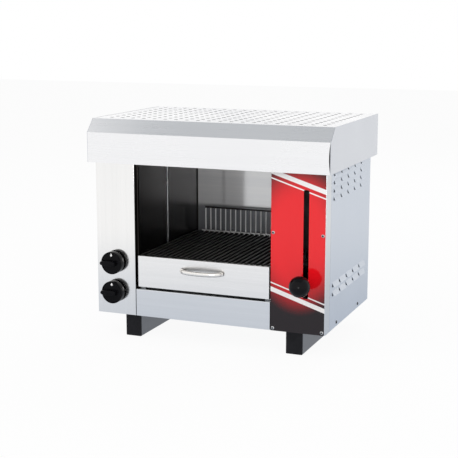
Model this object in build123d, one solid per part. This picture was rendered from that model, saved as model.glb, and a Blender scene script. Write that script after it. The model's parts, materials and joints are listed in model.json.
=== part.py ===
# Gas salamander grill: a steel casing with a hood, a lifting grill grid and a drip tray drawer.
# Millimetres, +Z up, front towards -Y, origin on the floor at the middle of the overall box.
import os

from build123d import *

os.makedirs("parts", exist_ok=True)

# Casing
body_width = 576.0
body_depth = 366.0
body_height = 440.0
sheet = 1.2
bend_radius = 2.0
seam_gap = 0.8
base_sheet = 1.5
base_flange = 18.0
cut_overrun = 5.0

# Front panels
left_panel_width = 102.0
right_panel_width = 130.7
lower_panel_height = 65.7
upper_rail_height = 68.0
column_return = 32.0
jamb_depth = 15.0
panel_return = 11.0
lower_panel_gap = 1.6

# Side and back panels
side_rear_return = 16.0
louvre_length = 45.0
louvre_height = 12.0
louvre_stand = 5.5
louvre_pitch = 55.0
louvre_front_margin = 19.0
louvre_rear_margin = 43.0
upper_louvre_drop = 71.7
upper_louvre_step = 18.6
upper_louvre_rows = 4
lower_louvre_height = 112.0
lower_louvre_step = 20.5
lower_louvre_rows = 2

# Hood
hood_side_overhang = 12.0
hood_front_overhang = 16.0
hood_back_overhang = 16.0
hood_lap = 72.0
hood_rise = 30.0
hood_sheet = 1.2
chamfer_depth = 30.0
chamfer_height = 31.0
hood_lip = 10.0
hood_seam_bow = 3.0
hood_top_seam = 2.0
vent_diameter = 10.0
vent_pitch_across = 28.0
vent_pitch_deep = 30.0
vent_margin = 30.0
spacer_height = 20.0
spacer_drop = 45.0
spacer_margin = 50.0

# Foot rails
foot_width = 40.0
foot_height = 60.0
foot_wall = 2.0
foot_inset = 61.5
foot_recess = 26.0
cap_flange = 4.0
cap_insert = 15.0
cap_clearance = 0.2
cap_edge = 1.0
foot_bolt_inset = 40.0
foot_bolt_diameter = 8.0
foot_bolt_head = 13.0
foot_bolt_head_height = 5.0
foot_bolt_reach = 12.0

# Screws
screw_diameter = 4.0
screw_head = 8.0
screw_head_height = 2.2
screw_socket = 3.0
screw_socket_depth = 1.2
screw_length = 8.0
screw_clearance = 0.1
side_screw_height = 10.0
side_screw_front_depth = 88.0
side_screw_back_depth = 270.0

# Decor panel
decor_sheet = 1.0
decor_edge = 0.5
decor_corner = 2.0
decor_screw_inset = 5.5
decor_screw_low = 6.5
decor_screw_middle = 229.0
decor_screw_drop = 8.0
slot_inset = 47.0
slot_width = 13.0
slot_corner = 3.0
slot_low = 81.7
slot_spare = 6.5
slot_backing_gap = 1.0

# Cavity
inner_sheet = 1.0
cavity_inset = 5.0
cavity_back_gap = 5.0
cavity_wall_drop = 40.0
floor_drop = 1.7
wall_slot_width = 15.0
wall_slot_middle = 173.5
wall_slot_low = 100.0
wall_slot_spare = 35.0

# Drip tray drawer
drawer_recess = 4.0
drawer_gap = 4.8
drawer_height = 76.0
drawer_return = 10.0
tray_side_gap = 5.0
tray_depth = 330.0
tray_height = 36.0
tray_sheet = 1.0
runner_width = 14.0
runner_guide = 18.0
running_gap = 0.3
handle_length = 112.0
handle_reach = 28.0
handle_bar = 8.0
handle_height = 10.0
handle_taper = 5.0
handle_corner = 18.0
handle_edge = 2.5
handle_drop = 26.0
handle_screw_length = 10.0

# Lifting carriage
lift_reserve = 240.0
grid_gap = 3.0
grid_front = 18.0
grid_back = 345.0
grid_top = 149.0
grid_thickness = 8.0
bar_pitch = 13.9
bar_width = 7.0
grid_border = 8.0
end_bar_drop = 3.0
carrier_width = 12.0
carrier_thickness = 10.0
fence_height = 66.0
fence_wire = 3.6
fence_rail = 4.0
fence_pitch = 14.1
fence_margin = 29.0
fence_overhang = 12.0
fence_back_gap = 4.0
guide_diameter = 8.0
guide_clearance = 0.05
guide_behind = 24.0
bush_diameter = 12.0
slider_depth = 42.0
slider_height = 36.0
slider_width = 18.0
slider_wall_gap = 0.7
slider_drop = 43.0
arm_clearance = 2.0
arm_height = 25.0
bracket_height = 14.0
bracket_width = 20.0
lever_diameter = 8.0
lever_height = 119.5
lever_bar_depth = 12.0
lever_bar_height = 12.0
lever_bar_end = 5.0
ball_diameter = 48.0
ball_stand = 44.0
ball_bore_depth = 16.0

# Burners
burner_side_gap = 10.0
burner_gap = 7.0
burner_front = 30.0
burner_back = 318.0
burner_drop = 69.0
burner_height = 41.0
burner_sheet = 1.2
burner_lip = 5.0
plaque_thickness = 13.0
plaque_count = 3
plaque_gap = 2.0
rail_depth = 8.0
rail_height = 20.0
rail_lift = 7.0
mixer_diameter = 30.0
mixer_wall = 1.5
mixer_start = 84.0
left_mixer_depth = 110.0
right_mixer_depth = 230.0
mixer_lift = 16.0
air_port_length = 16.0
air_port_height = 12.0
injector_hex = 17.0
injector_length = 14.0
nozzle_diameter = 10.0
nozzle_length = 10.0

# Gas supply
knob_inset = 47.5
upper_knob_height = 127.8
lower_knob_height = 55.9
valve_width = 34.0
valve_front = 16.0
valve_back = 60.0
bonnet_diameter = 18.0
plug_diameter = 16.0
plug_front = 34.0
plug_back = 54.0
plug_socket = 14.0
fit_clearance = 0.05
spindle_diameter = 8.0
spindle_flat = 1.0
spindle_bore_gap = 0.6
spindle_hole_gap = 1.0
push_travel = 4.0
push_spare = 1.0
knob_diameter = 52.0
knob_gap = 5.0
knob_skirt = 13.0
knob_body = 2.5
knob_taper = 2.0
knob_grip_width = 12.0
knob_grip_corner = 4.0
knob_grip_rise = 10.0
knob_pointer = 2.5
knob_bore_depth = 16.0
knob_edge = 1.5
manifold_diameter = 14.0
stub_diameter = 10.0
manifold_depth = 72.0
manifold_height = 30.0
inlet_diameter = 21.0
inlet_hex = 27.0
inlet_hex_length = 12.0
inlet_end_gap = 2.0
inlet_collar = 24.0
inlet_collar_stand = 1.0
inlet_hole_gap = 0.5
pipe_diameter = 8.0
pipe_bend = 12.0
lower_pipe_inset = 16.0
outlet_depth = 38.0
probe_diameter = 3.0
probe_nut = 8.0
probe_nut_length = 5.0
probe_reach = 24.0
probe_depth = 60.0
probe_drop = 76.0
probe_clearance = 0.2

# Datum planes of the casing
left = -body_width / 2
right = body_width / 2
front_reach = ball_stand + ball_diameter / 2
back_reach = body_depth + hood_back_overhang
front = (front_reach - back_reach) / 2
back = front + body_depth
under = foot_height
top = under + body_height
base_top = under + base_sheet

# Front opening and cavity
opening_left = left + left_panel_width
opening_right = right - right_panel_width
cavity_left = opening_left + cavity_inset
cavity_right = opening_right - cavity_inset
cavity_middle = (cavity_left + cavity_right) / 2
cavity_front = front + jamb_depth
cavity_back = back - sheet - cavity_back_gap
floor_top = under + lower_panel_height - floor_drop
wall_front = cavity_front + sheet
lift_travel = body_height - lift_reserve
slot_high = lever_height + lift_travel + lever_diameter / 2 + slot_spare


def save(name, *solids):
    """Write one node as a group of its solids."""
    bodies = []
    for shape in solids:
        bodies.extend(shape.solids())
    export_step(Compound(bodies) if len(bodies) > 1 else bodies[0], f"parts/{name}.step")


def block(across, deep, high):
    """Box between pairs of coordinates."""
    corner = Pos(across[0], deep[0], high[0])
    size = (across[1] - across[0], deep[1] - deep[0], high[1] - high[0])
    return corner * Box(*size, align=(Align.MIN, Align.MIN, Align.MIN))


def rod(start, end, diameter):
    """Round bar from one point to another."""
    path = Vector(*end) - Vector(*start)
    bar = Cylinder(diameter / 2, path.length, align=(Align.CENTER, Align.CENTER, Align.MIN))
    return Plane(origin=start, z_dir=path) * bar


def hexagon_bar(start, end, across_flats):
    """Hexagonal bar from one point to another."""
    path = Vector(*end) - Vector(*start)
    outline = RegularPolygon(across_flats / 2, 6, major_radius=False)
    return extrude(Plane(origin=start, z_dir=path) * outline, path.length)


def pipe(points, diameter):
    """Round pipe along straight runs with bends."""
    route = FilletPolyline(*points, radius=pipe_bend)
    return sweep(Plane(origin=route @ 0, z_dir=route % 0) * Circle(diameter / 2), path=route)


def folded(points, thickness, side):
    """Outline of a folded sheet from the points along its outer face."""
    outer = FilletPolyline(*points, radius=bend_radius)
    return make_face(offset(outer, amount=thickness, side=side, kind=Kind.ARC, closed=True))


def screw(place, direction):
    """Button head screw whose head stands on a face."""
    seat = Vector(*place)
    out = Vector(*direction)
    face = Plane(origin=seat, z_dir=out)
    head = face * Cylinder(screw_head / 2, screw_head_height, align=(Align.CENTER, Align.CENTER, Align.MIN))
    crown = head.faces().sort_by(Axis(seat, out))[-1].edges()
    head = fillet(crown, screw_head_height / 2)
    socket_mouth = face.offset(screw_head_height) * RegularPolygon(screw_socket / 2, 6)
    socket = extrude(socket_mouth, -screw_socket_depth)
    return head - socket + rod(seat, seat - out * screw_length, screw_diameter)


def screw_hole(place, direction):
    """Clearance cut for a screw's shank through the sheets under its head."""
    seat = Vector(*place)
    out = Vector(*direction)
    return rod(seat + out * cut_overrun, seat - out * screw_length, screw_diameter + 2 * screw_clearance)


def across_cavity(shape):
    """Mirror image on the other side of the cavity."""
    return mirror(shape, about=Plane.YZ.offset(cavity_middle))


def across_body(shape):
    """Mirror image on the other side of the casing."""
    return mirror(shape, about=Plane.YZ)


# Base plate: a pan with an upright flange along each side for the side screws
base_plate = block((left + sheet, right - sheet), (front + sheet, back - sheet), (under, base_top))
base_plate = chamfer(base_plate.edges().filter_by(Axis.Z), bend_radius)
flange_ends = (front + column_return + seam_gap, back - side_rear_return)
base_side = block((right - 2 * sheet, right - sheet), flange_ends, (base_top, base_top + base_flange))
base_plate = base_plate + base_side + across_body(base_side)
foot_left_middle = left + foot_inset + foot_width / 2
foot_bolt_places = []
for foot_middle in (foot_left_middle, -foot_left_middle):
    for bolt_depth in (front + foot_recess + foot_bolt_inset, back - foot_recess - foot_bolt_inset):
        foot_bolt_places.append((foot_middle, bolt_depth))
foot_bolts = []
foot_bolt_holes = []
for bolt_across, bolt_deep in foot_bolt_places:
    seat = (bolt_across, bolt_deep, base_top)
    crown = (bolt_across, bolt_deep, base_top + foot_bolt_head_height)
    tip = (bolt_across, bolt_deep, base_top - foot_bolt_reach)
    foot_bolts.append(hexagon_bar(seat, crown, foot_bolt_head) + rod(seat, tip, foot_bolt_diameter))
    foot_bolt_holes.append(rod(crown, tip, foot_bolt_diameter + 2 * screw_clearance))

# Side screws and their holes through the side panels and the base flanges
side_screws = []
side_screw_holes = []
for screw_deep in (front + side_screw_front_depth, front + side_screw_back_depth):
    for edge, out in ((right, 1), (left, -1)):
        place = (edge, screw_deep, under + side_screw_height)
        side_screws.append(screw(place, (out, 0, 0)))
        side_screw_holes.append(screw_hole(place, (out, 0, 0)))
save("base_plate", base_plate - foot_bolt_holes - side_screw_holes)
save("foot_bolts", *foot_bolts)
save("side_screws", *side_screws)

# Foot rails: rectangular tubes that run front to back, closed by plastic caps
tube_ends = (front + foot_recess + cap_flange, back - foot_recess - cap_flange)
foot_sides = (left + foot_inset, left + foot_inset + foot_width)
hollow_sides = (foot_sides[0] + foot_wall, foot_sides[1] - foot_wall)
hollow_heights = (foot_wall, foot_height - foot_wall)
foot_rail = block(foot_sides, tube_ends, (0, foot_height))
foot_rail = fillet(foot_rail.edges().filter_by(Axis.Y), foot_wall)
foot_rail = foot_rail - block(hollow_sides, (front, back), hollow_heights)
save("left_foot_rail", foot_rail - foot_bolt_holes)
save("right_foot_rail", across_body(foot_rail) - foot_bolt_holes)
cap_face = block(foot_sides, (front + foot_recess, tube_ends[0]), (0, foot_height))
cap_face = fillet(cap_face.edges().filter_by(Axis.Y), foot_wall)
cap_face = fillet(cap_face.faces().sort_by(Axis.Y)[0].edges(), cap_edge)
insert_sides = (hollow_sides[0] + cap_clearance, hollow_sides[1] - cap_clearance)
insert_heights = (hollow_heights[0] + cap_clearance, hollow_heights[1] - cap_clearance)
front_cap = cap_face + block(insert_sides, (tube_ends[0], tube_ends[0] + cap_insert), insert_heights)
body_middle = Plane.XZ.offset(-(front + back) / 2)
back_cap = mirror(front_cap, about=body_middle)
save("foot_end_caps", front_cap, back_cap, across_body(front_cap), across_body(back_cap))

# Front panels: folded sheets on both sides of the opening, with a return along the side and a jamb
knob_across = left + knob_inset
knob_heights = {"upper": under + upper_knob_height, "lower": under + lower_knob_height}
left_fold = [
    (left, front + column_return),
    (left, front),
    (opening_left, front),
    (opening_left, cavity_front),
    (cavity_left, cavity_front),
]
left_front_panel = extrude(Plane.XY.offset(under) * folded(left_fold, sheet, Side.LEFT), body_height)
for knob_height in knob_heights.values():
    hole_start = (knob_across, front - cut_overrun, knob_height)
    hole_end = (knob_across, front + sheet + cut_overrun, knob_height)
    left_front_panel = left_front_panel - rod(hole_start, hole_end, spindle_diameter + 2 * spindle_hole_gap)
save("left_front_panel", left_front_panel - base_plate)

right_fold = [
    (right, front + column_return),
    (right, front),
    (opening_right, front),
    (opening_right, cavity_front),
    (cavity_right, cavity_front),
]
right_front_panel = extrude(Plane.XY.offset(under) * folded(right_fold, sheet, Side.RIGHT), body_height)
slot_middle = right - slot_inset


def upright_slot(width, face, depth):
    """Upright cut with rounded corners for the lever, through the sheet behind a face."""
    wider = width - slot_width
    length = slot_high - slot_low + wider
    centre = (slot_middle, face, under + (slot_low + slot_high) / 2)
    outline = RectangleRounded(length, width, slot_corner + wider / 2)
    shape = Plane(origin=centre, x_dir=(0, 0, 1), z_dir=(0, 1, 0)) * outline
    return extrude(shape, depth)


decor_left = opening_right + decor_edge
decor_right = right - bend_radius
decor_face = front - decor_sheet
decor_screws = []
decor_holes = []
for screw_across in (decor_left + decor_screw_inset, decor_right - decor_screw_inset):
    for screw_height in (decor_screw_low, decor_screw_middle, body_height - decor_screw_drop):
        place = (screw_across, decor_face, under + screw_height)
        decor_screws.append(screw(place, (0, -1, 0)))
        decor_holes.append(screw_hole(place, (0, -1, 0)))
column_slot = upright_slot(slot_width + 2 * slot_backing_gap, front - cut_overrun, sheet + 2 * cut_overrun)
right_front_panel = right_front_panel - column_slot - decor_holes - base_plate
save("right_front_panel", right_front_panel)

# Decor panel: a thin printed sheet screwed on the right column
decor_panel = block((decor_left, decor_right), (decor_face, front), (under, top))
decor_panel = fillet(decor_panel.edges().filter_by(Axis.Y), decor_corner)
decor_slot = upright_slot(slot_width, decor_face - cut_overrun, decor_sheet + 2 * cut_overrun)
save("decor_panel", decor_panel - decor_slot - decor_holes)
save("decor_screws", *decor_screws)

# Lower panel stands clear of the columns by a seam, and the upper rail is welded between them
lower_ends = (opening_left + lower_panel_gap, opening_right - lower_panel_gap)
lower_start = Plane.YZ.offset(lower_ends[0])
lower_length = lower_ends[1] - lower_ends[0]
lower_fold = [
    (front + panel_return, base_top),
    (front, base_top),
    (front, under + lower_panel_height),
    (front + panel_return, under + lower_panel_height),
]
lower_front_panel = extrude(lower_start * folded(lower_fold, sheet, Side.RIGHT), lower_length)
lower_skirt = block(lower_ends, (front, front + sheet), (under, base_top + bend_radius))
save("lower_front_panel", lower_front_panel + lower_skirt)
upper_fold = [
    (front + panel_return, top - upper_rail_height),
    (front, top - upper_rail_height),
    (front, top),
]
upper_start = Plane.YZ.offset(opening_left)
upper_length = opening_right - opening_left
save("upper_front_rail", extrude(upper_start * folded(upper_fold, sheet, Side.RIGHT), upper_length))

# Side panels: flat sheets with pressed louvres that open to the front and down
side_start = front + column_return + seam_gap
side_fold = [(right, side_start), (right, back), (right - side_rear_return, back)]
side_panel = extrude(Plane.XY.offset(under) * folded(side_fold, sheet, Side.LEFT), body_height)
louvre_room = back - side_start - louvre_front_margin - louvre_length - louvre_rear_margin
louvre_columns = int(louvre_room // louvre_pitch) + 1
louvre_tops = []
for row in range(upper_louvre_rows):
    louvre_tops.append(top - upper_louvre_drop - row * upper_louvre_step)
for row in range(lower_louvre_rows):
    louvre_tops.append(under + lower_louvre_height - row * lower_louvre_step)
louvre_cuts = []
louvre_flaps = []
for louvre_top in louvre_tops:
    louvre_low = louvre_top - louvre_height
    flap_outline = Polyline(
        (right, louvre_top),
        (right + louvre_stand, louvre_low),
        (right + louvre_stand - sheet, louvre_low),
        (right - sheet, louvre_top),
        close=True,
    )
    end_outline = Polyline(
        (right, louvre_top),
        (right + louvre_stand, louvre_low),
        (right - sheet, louvre_low),
        (right - sheet, louvre_top),
        close=True,
    )
    for column in range(louvre_columns):
        louvre_start = side_start + louvre_front_margin + column * louvre_pitch
        louvre_end = louvre_start + louvre_length
        louvre_cuts.append(
            block((right - 2 * sheet, right + sheet), (louvre_start, louvre_end), (louvre_low, louvre_top))
        )
        flap = extrude(Plane.XZ.offset(-louvre_end) * make_face(flap_outline), louvre_length)
        closing = extrude(Plane.XZ.offset(-louvre_end) * make_face(end_outline), sheet)
        louvre_flaps.append(flap + closing)
side_panel = side_panel - louvre_cuts + louvre_flaps
save("right_side_panel", side_panel - side_screw_holes)
save("left_side_panel", across_body(side_panel) - side_screw_holes)

# Back panel with the hole for the gas inlet
inlet_height = under + manifold_height
back_sides = (left + side_rear_return + seam_gap, right - side_rear_return - seam_gap)
back_panel = block(back_sides, (back - sheet, back), (under, top))
inlet_hole = rod(
    (knob_across, back - cut_overrun, inlet_height),
    (knob_across, back + cut_overrun, inlet_height),
    inlet_collar + 2 * inlet_hole_gap,
)
save("back_panel", back_panel - inlet_hole)

# Hood: one folded sheet for the front band, chamfer, perforated top and back band
hood_left = left - hood_side_overhang
hood_right = right + hood_side_overhang
hood_front = front - hood_front_overhang
hood_back = back + hood_back_overhang
hood_low = top - hood_lap
hood_high = top + hood_rise
hood_outline = Polyline(
    (hood_front, hood_low - cut_overrun),
    (hood_front, hood_high - chamfer_height),
    (hood_front + chamfer_depth, hood_high),
    (hood_back, hood_high),
    (hood_back, hood_low - cut_overrun),
    close=True,
)
hood_profile = make_face(hood_outline)
hood_profile = fillet(hood_profile.vertices().sort_by(Axis.Y)[-3:], bend_radius)
below_hood = block((hood_left, hood_right), (hood_front, hood_back), (under, hood_low))
shell_start = Plane.YZ.offset(hood_left + hood_sheet)
shell_length = hood_right - hood_left - 2 * hood_sheet
hood_shell = extrude(shell_start * (hood_profile - offset(hood_profile, amount=-hood_sheet)), shell_length)
hood_shell = hood_shell - below_hood
lip_sides = (hood_left + hood_sheet, hood_right - hood_sheet)
lip_heights = (hood_low, hood_low + hood_sheet)
hood_shell = hood_shell + block(lip_sides, (hood_front, hood_front + hood_lip), lip_heights)
hood_shell = hood_shell + block(lip_sides, (hood_back - hood_lip, hood_back), lip_heights)
top_front = hood_front + chamfer_depth
vent_columns = int((hood_right - hood_left - 2 * vent_margin) // vent_pitch_across) + 1
vent_rows = int((hood_back - top_front - 2 * vent_margin) // vent_pitch_deep) + 1
vent_centre = Pos(0, (top_front + hood_back) / 2, hood_high - hood_sheet - cut_overrun)
vent_grid = GridLocations(vent_pitch_across, vent_pitch_deep, vent_columns, vent_rows)
vents = Sketch(vent_grid * Circle(vent_diameter / 2))
hood_shell = hood_shell - extrude(vent_centre * vents, hood_sheet + 2 * cut_overrun)

# The front band's right end bows away from the end plate and leaves a slit
band_top = hood_high - chamfer_height
band_end = hood_right - hood_sheet
slit_low = hood_low + hood_sheet
slit_arc = ThreePointArc(
    (band_end, slit_low), (band_end - hood_seam_bow, (slit_low + band_top) / 2), (band_end, band_top)
)
slit = make_face(slit_arc + Line((band_end, slit_low), (band_end, band_top)))
slit_back = Plane.XZ.offset(-hood_front - hood_sheet)
hood_shell = hood_shell - extrude(slit_back * slit, hood_sheet + cut_overrun)

# The top sheet stops short of the left end plate and leaves a seam
seam_sides = (hood_left + hood_sheet, hood_left + hood_sheet + hood_top_seam)
seam_heights = (hood_high - hood_sheet - cut_overrun, hood_high + cut_overrun)
hood_shell = hood_shell - block(seam_sides, (top_front + hood_lip, hood_back - hood_lip), seam_heights)
save("hood_shell", hood_shell)

# Hood end plates carry the same profile and a lip along the bottom
end_plate = extrude(Plane.YZ.offset(hood_right - hood_sheet) * hood_profile, hood_sheet) - below_hood
end_lip = block(
    (hood_right - hood_lip, hood_right - hood_sheet),
    (hood_front + hood_lip, hood_back - hood_lip),
    lip_heights,
)
end_plate = end_plate + end_lip
save("hood_right_end", end_plate)
save("hood_left_end", across_body(end_plate))
spacer_heights = (top - spacer_drop, top - spacer_drop + spacer_height)
spacer_ends = (side_start + spacer_margin, back - spacer_margin)
spacer = block((right, hood_right - hood_sheet), spacer_ends, spacer_heights)
save("hood_spacers", spacer, across_body(spacer))

# Cavity walls: steel sheets around the grilling space, with upright slots for the carriage arms
wall_top = top - cavity_wall_drop
slot_deep = front + wall_slot_middle
left_wall = block(
    (cavity_left - inner_sheet, cavity_left), (wall_front, cavity_back + inner_sheet), (base_top, wall_top)
)
wall_slot = block(
    (cavity_left - 2 * inner_sheet, cavity_left + inner_sheet),
    (slot_deep - wall_slot_width / 2, slot_deep + wall_slot_width / 2),
    (under + wall_slot_low, under + grid_top + lift_travel + wall_slot_spare - grid_thickness),
)
probe_seat = (cavity_left - inner_sheet, front + probe_depth, top - probe_drop)
probe_tip = (cavity_left + probe_reach, front + probe_depth, top - probe_drop)
probe_back = (cavity_left - inner_sheet - probe_nut_length, front + probe_depth, top - probe_drop)
left_wall = left_wall - wall_slot - rod(probe_back, probe_tip, probe_diameter + 2 * probe_clearance)
save("left_cavity_wall", left_wall)
save("right_cavity_wall", across_cavity(left_wall))
cavity_sides = (cavity_left, cavity_right)
back_wall = block(cavity_sides, (cavity_back, cavity_back + inner_sheet), (base_top, wall_top))
save("back_cavity_wall", back_wall)
save("cavity_floor", block(cavity_sides, (wall_front, cavity_back), (floor_top - inner_sheet, floor_top)))
probe = rod(probe_back, probe_tip, probe_diameter) + hexagon_bar(probe_back, probe_seat, probe_nut)
save("thermocouples", probe, across_cavity(probe))

# Drip tray drawer: folded front, open tray and bow handle
drawer_low = under + lower_panel_height + drawer_gap
drawer_high = drawer_low + drawer_height
drawer_sides = (opening_left + drawer_gap, opening_right - drawer_gap)
drawer_face = front + drawer_recess
drawer_front = block(drawer_sides, (drawer_face, drawer_face + drawer_return), (drawer_low, drawer_high))
drawer_front = fillet(drawer_front.faces().sort_by(Axis.Y)[0].edges(), sheet)
drawer_front = drawer_front - block(
    (drawer_sides[0] + sheet, drawer_sides[1] - sheet),
    (drawer_face + sheet, drawer_face + drawer_return),
    (drawer_low + sheet, drawer_high - sheet),
)
tray_sides = (cavity_left + tray_side_gap, cavity_right - tray_side_gap)
tray_low = drawer_low + sheet
tray_high = tray_low + tray_height
tray_ends = (drawer_face + sheet, drawer_face + sheet + tray_depth)
drip_tray = block(tray_sides, tray_ends, (tray_low, tray_high))
drip_tray = drip_tray - block(
    (tray_sides[0] + tray_sheet, tray_sides[1] - tray_sheet),
    (tray_ends[0] + tray_sheet, tray_ends[1] - tray_sheet),
    (tray_low + tray_sheet, tray_high),
)
handle_middle = (drawer_sides[0] + drawer_sides[1]) / 2
handle_axis = drawer_high - handle_drop
handle_screws = []
handle_holes = []
foot_centre = (handle_length - handle_bar) / 2
for side in (-1, 1):
    screw_across = handle_middle + side * foot_centre
    inside = (screw_across, drawer_face + sheet, handle_axis)
    tip = (screw_across, drawer_face + sheet - handle_screw_length, handle_axis)
    crown = (screw_across, drawer_face + sheet + screw_head_height, handle_axis)
    handle_screws.append(rod(tip, inside, screw_diameter) + rod(inside, crown, screw_head))
    handle_holes.append(rod(tip, crown, screw_diameter + 2 * screw_clearance))
outer_bow = Polyline(
    (-handle_length / 2, 0),
    (-handle_length / 2 + handle_taper, -handle_reach),
    (handle_length / 2 - handle_taper, -handle_reach),
    (handle_length / 2, 0),
    close=True,
)
inner_bow = Polyline(
    (-handle_length / 2 + handle_bar, 0),
    (-handle_length / 2 + handle_taper + handle_bar, handle_bar - handle_reach),
    (handle_length / 2 - handle_taper - handle_bar, handle_bar - handle_reach),
    (handle_length / 2 - handle_bar, 0),
    close=True,
)
outer_face = make_face(outer_bow)
outer_face = fillet(outer_face.vertices().sort_by(Axis.Y)[:2], handle_corner)
inner_face = make_face(inner_bow)
inner_face = fillet(inner_face.vertices().sort_by(Axis.Y)[:2], handle_corner - handle_bar)
handle_place = Pos(handle_middle, drawer_face, handle_axis - handle_height / 2)
drawer_handle = handle_place * extrude(outer_face - inner_face, handle_height)
level_edges = drawer_handle.edges().filter_by(Plane.XY)
bow_edges = level_edges.filter_by(lambda edge: edge.center().Y < drawer_face - cut_overrun)
drawer_handle = fillet(bow_edges, handle_edge)
save("drawer_front", drawer_front - handle_holes)
save("drip_tray", drip_tray)
save("drawer_handle", drawer_handle - handle_holes)
save("handle_screws", *handle_screws)

# Drawer runners: a ledge under each side of the tray and a guide beside it
runner_top = tray_low - running_gap
runner_ends = (wall_front, cavity_back)
runner = block((cavity_left, cavity_left + runner_width), runner_ends, (floor_top, runner_top))
runner = runner + block(
    (cavity_left, tray_sides[0] - running_gap), runner_ends, (runner_top, runner_top + runner_guide)
)
save("drawer_runners", runner, across_cavity(runner))

# Grill grid: bars from front to back between two end bars
grid_sides = (cavity_left + grid_gap, cavity_right - grid_gap)
grid_ends = (front + grid_front, front + grid_back)
grid_high = under + grid_top
grid_low = grid_high - grid_thickness
bar_count = int((grid_sides[1] - grid_sides[0] - bar_width) // bar_pitch) + 1
bar_span = (bar_count - 1) * bar_pitch
grid_bars = []
for bar in range(bar_count):
    bar_middle = cavity_middle - bar_span / 2 + bar * bar_pitch
    bar_sides = (bar_middle - bar_width / 2, bar_middle + bar_width / 2)
    grid_bars.append(block(bar_sides, grid_ends, (grid_low, grid_high)))
end_sides = (cavity_middle - bar_span / 2, cavity_middle + bar_span / 2)
end_heights = (grid_low, grid_high - end_bar_drop)
front_bar = block(end_sides, (grid_ends[0], grid_ends[0] + grid_border), end_heights)
back_bar = block(end_sides, (grid_ends[1] - grid_border, grid_ends[1]), end_heights)
save("grill_grid", front_bar + back_bar + grid_bars)

# Rear fence: upright wires between two rails, welded on the grid's back bar
fence_deep = grid_ends[1] - fence_back_gap
fence_low = grid_high + fence_rail / 2
fence_high = grid_high + fence_height - fence_rail / 2
fence_room = cavity_right - cavity_left - 2 * fence_margin
fence_gaps = int(fence_room // fence_pitch)
fence_sides = (cavity_middle - fence_gaps * fence_pitch / 2, cavity_middle + fence_gaps * fence_pitch / 2)
rear_fence = rod(
    (fence_sides[0] - fence_overhang, fence_deep, fence_low),
    (fence_sides[1] + fence_overhang, fence_deep, fence_low),
    fence_rail,
)
rail_start = (fence_sides[0], fence_deep, fence_high)
rail_end = (fence_sides[1], fence_deep, fence_high)
fence_wires = [rod(rail_start, rail_end, fence_rail)]
for gap in range(fence_gaps + 1):
    wire_across = fence_sides[0] + gap * fence_pitch
    wire_foot = (wire_across, fence_deep, fence_low)
    fence_wires.append(rod(wire_foot, (wire_across, fence_deep, fence_high), fence_wire))
save("rear_fence", rear_fence + fence_wires)

# Carrier frame under the grid
carrier_high = grid_low
carrier_low = carrier_high - carrier_thickness
carrier_frame = block(grid_sides, grid_ends, (carrier_low, carrier_high))
carrier_frame = carrier_frame - block(
    (grid_sides[0] + carrier_width, grid_sides[1] - carrier_width),
    (grid_ends[0] + carrier_width, grid_ends[1] - carrier_width),
    (carrier_low - cut_overrun, carrier_high + cut_overrun),
)
save("carrier_frame", carrier_frame)

# Guide rods stand behind the wall slots, held by a collar at the foot and a bracket at the top
slider_face = cavity_left - inner_sheet - slider_wall_gap
guide_across = slider_face - slider_width / 2
guide_deep = slot_deep + guide_behind
guide_rod = rod((guide_across, guide_deep, base_top), (guide_across, guide_deep, wall_top), guide_diameter)
save("guide_rods", guide_rod, across_cavity(guide_rod))
bracket_sides = (cavity_left - inner_sheet - bracket_width, cavity_left - inner_sheet)
bracket_ends = (guide_deep - bracket_width / 2, guide_deep + bracket_width / 2)
foot_bracket = block(bracket_sides, bracket_ends, (base_top, base_top + bracket_height))
head_bracket = block(bracket_sides, bracket_ends, (wall_top - bracket_height, wall_top))
guide_hole = rod(
    (guide_across, guide_deep, base_top - cut_overrun),
    (guide_across, guide_deep, wall_top + cut_overrun),
    guide_diameter + 2 * guide_clearance,
)
foot_bracket = foot_bracket - guide_hole
head_bracket = head_bracket - guide_hole
save("guide_brackets", foot_bracket, head_bracket, across_cavity(foot_bracket), across_cavity(head_bracket))

# Slider blocks run on the rods and reach through the slots to the carrier
slider_low = grid_high - slider_drop
slider_ends = (slot_deep - wall_slot_width / 2, slot_deep - wall_slot_width / 2 + slider_depth)
slider_heights = (slider_low, slider_low + slider_height)
slider = block((slider_face - slider_width, slider_face), slider_ends, slider_heights)
slider = slider + block(
    (slider_face, grid_sides[0]),
    (slot_deep - wall_slot_width / 2 + arm_clearance, slot_deep + wall_slot_width / 2 - arm_clearance),
    (carrier_high - arm_height, carrier_high),
)
bush_start = (guide_across, guide_deep, slider_low)
bush_end = (guide_across, guide_deep, slider_low + slider_height)
slider = slider - rod(bush_start, bush_end, bush_diameter)
bush = rod(bush_start, bush_end, bush_diameter) - guide_hole
save("left_slider", slider)
save("right_slider", across_cavity(slider))
save("slider_bushes", bush, across_cavity(bush))

# Lever: a cross bar from the right slider, a rod through the slot and a ball
lever_level = under + lever_height
lever_bar_start = 2 * cavity_middle - slider_face + slider_width
bar_deep = (guide_deep - lever_bar_depth / 2, guide_deep + lever_bar_depth / 2)
bar_heights = (lever_level - lever_bar_height / 2, lever_level + lever_bar_height / 2)
lever_bar_tip = slot_middle + lever_diameter / 2 + lever_bar_end
lever_bar = block((lever_bar_start, lever_bar_tip), bar_deep, bar_heights)
save("lever_bar", lever_bar)
ball_deep = front - ball_stand
bore_end = ball_deep + ball_diameter / 2 - ball_bore_depth
rod_tip = (slot_middle, bore_end, lever_level)
lever_rod = rod(rod_tip, (slot_middle, bar_deep[0], lever_level), lever_diameter)
save("lever_rod", lever_rod)
ball = Pos(slot_middle, ball_deep, lever_level) * Sphere(ball_diameter / 2)
ball_bore = rod(rod_tip, (slot_middle, front, lever_level), lever_diameter + 2 * fit_clearance)
save("ball_knob", ball - ball_bore)

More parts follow.
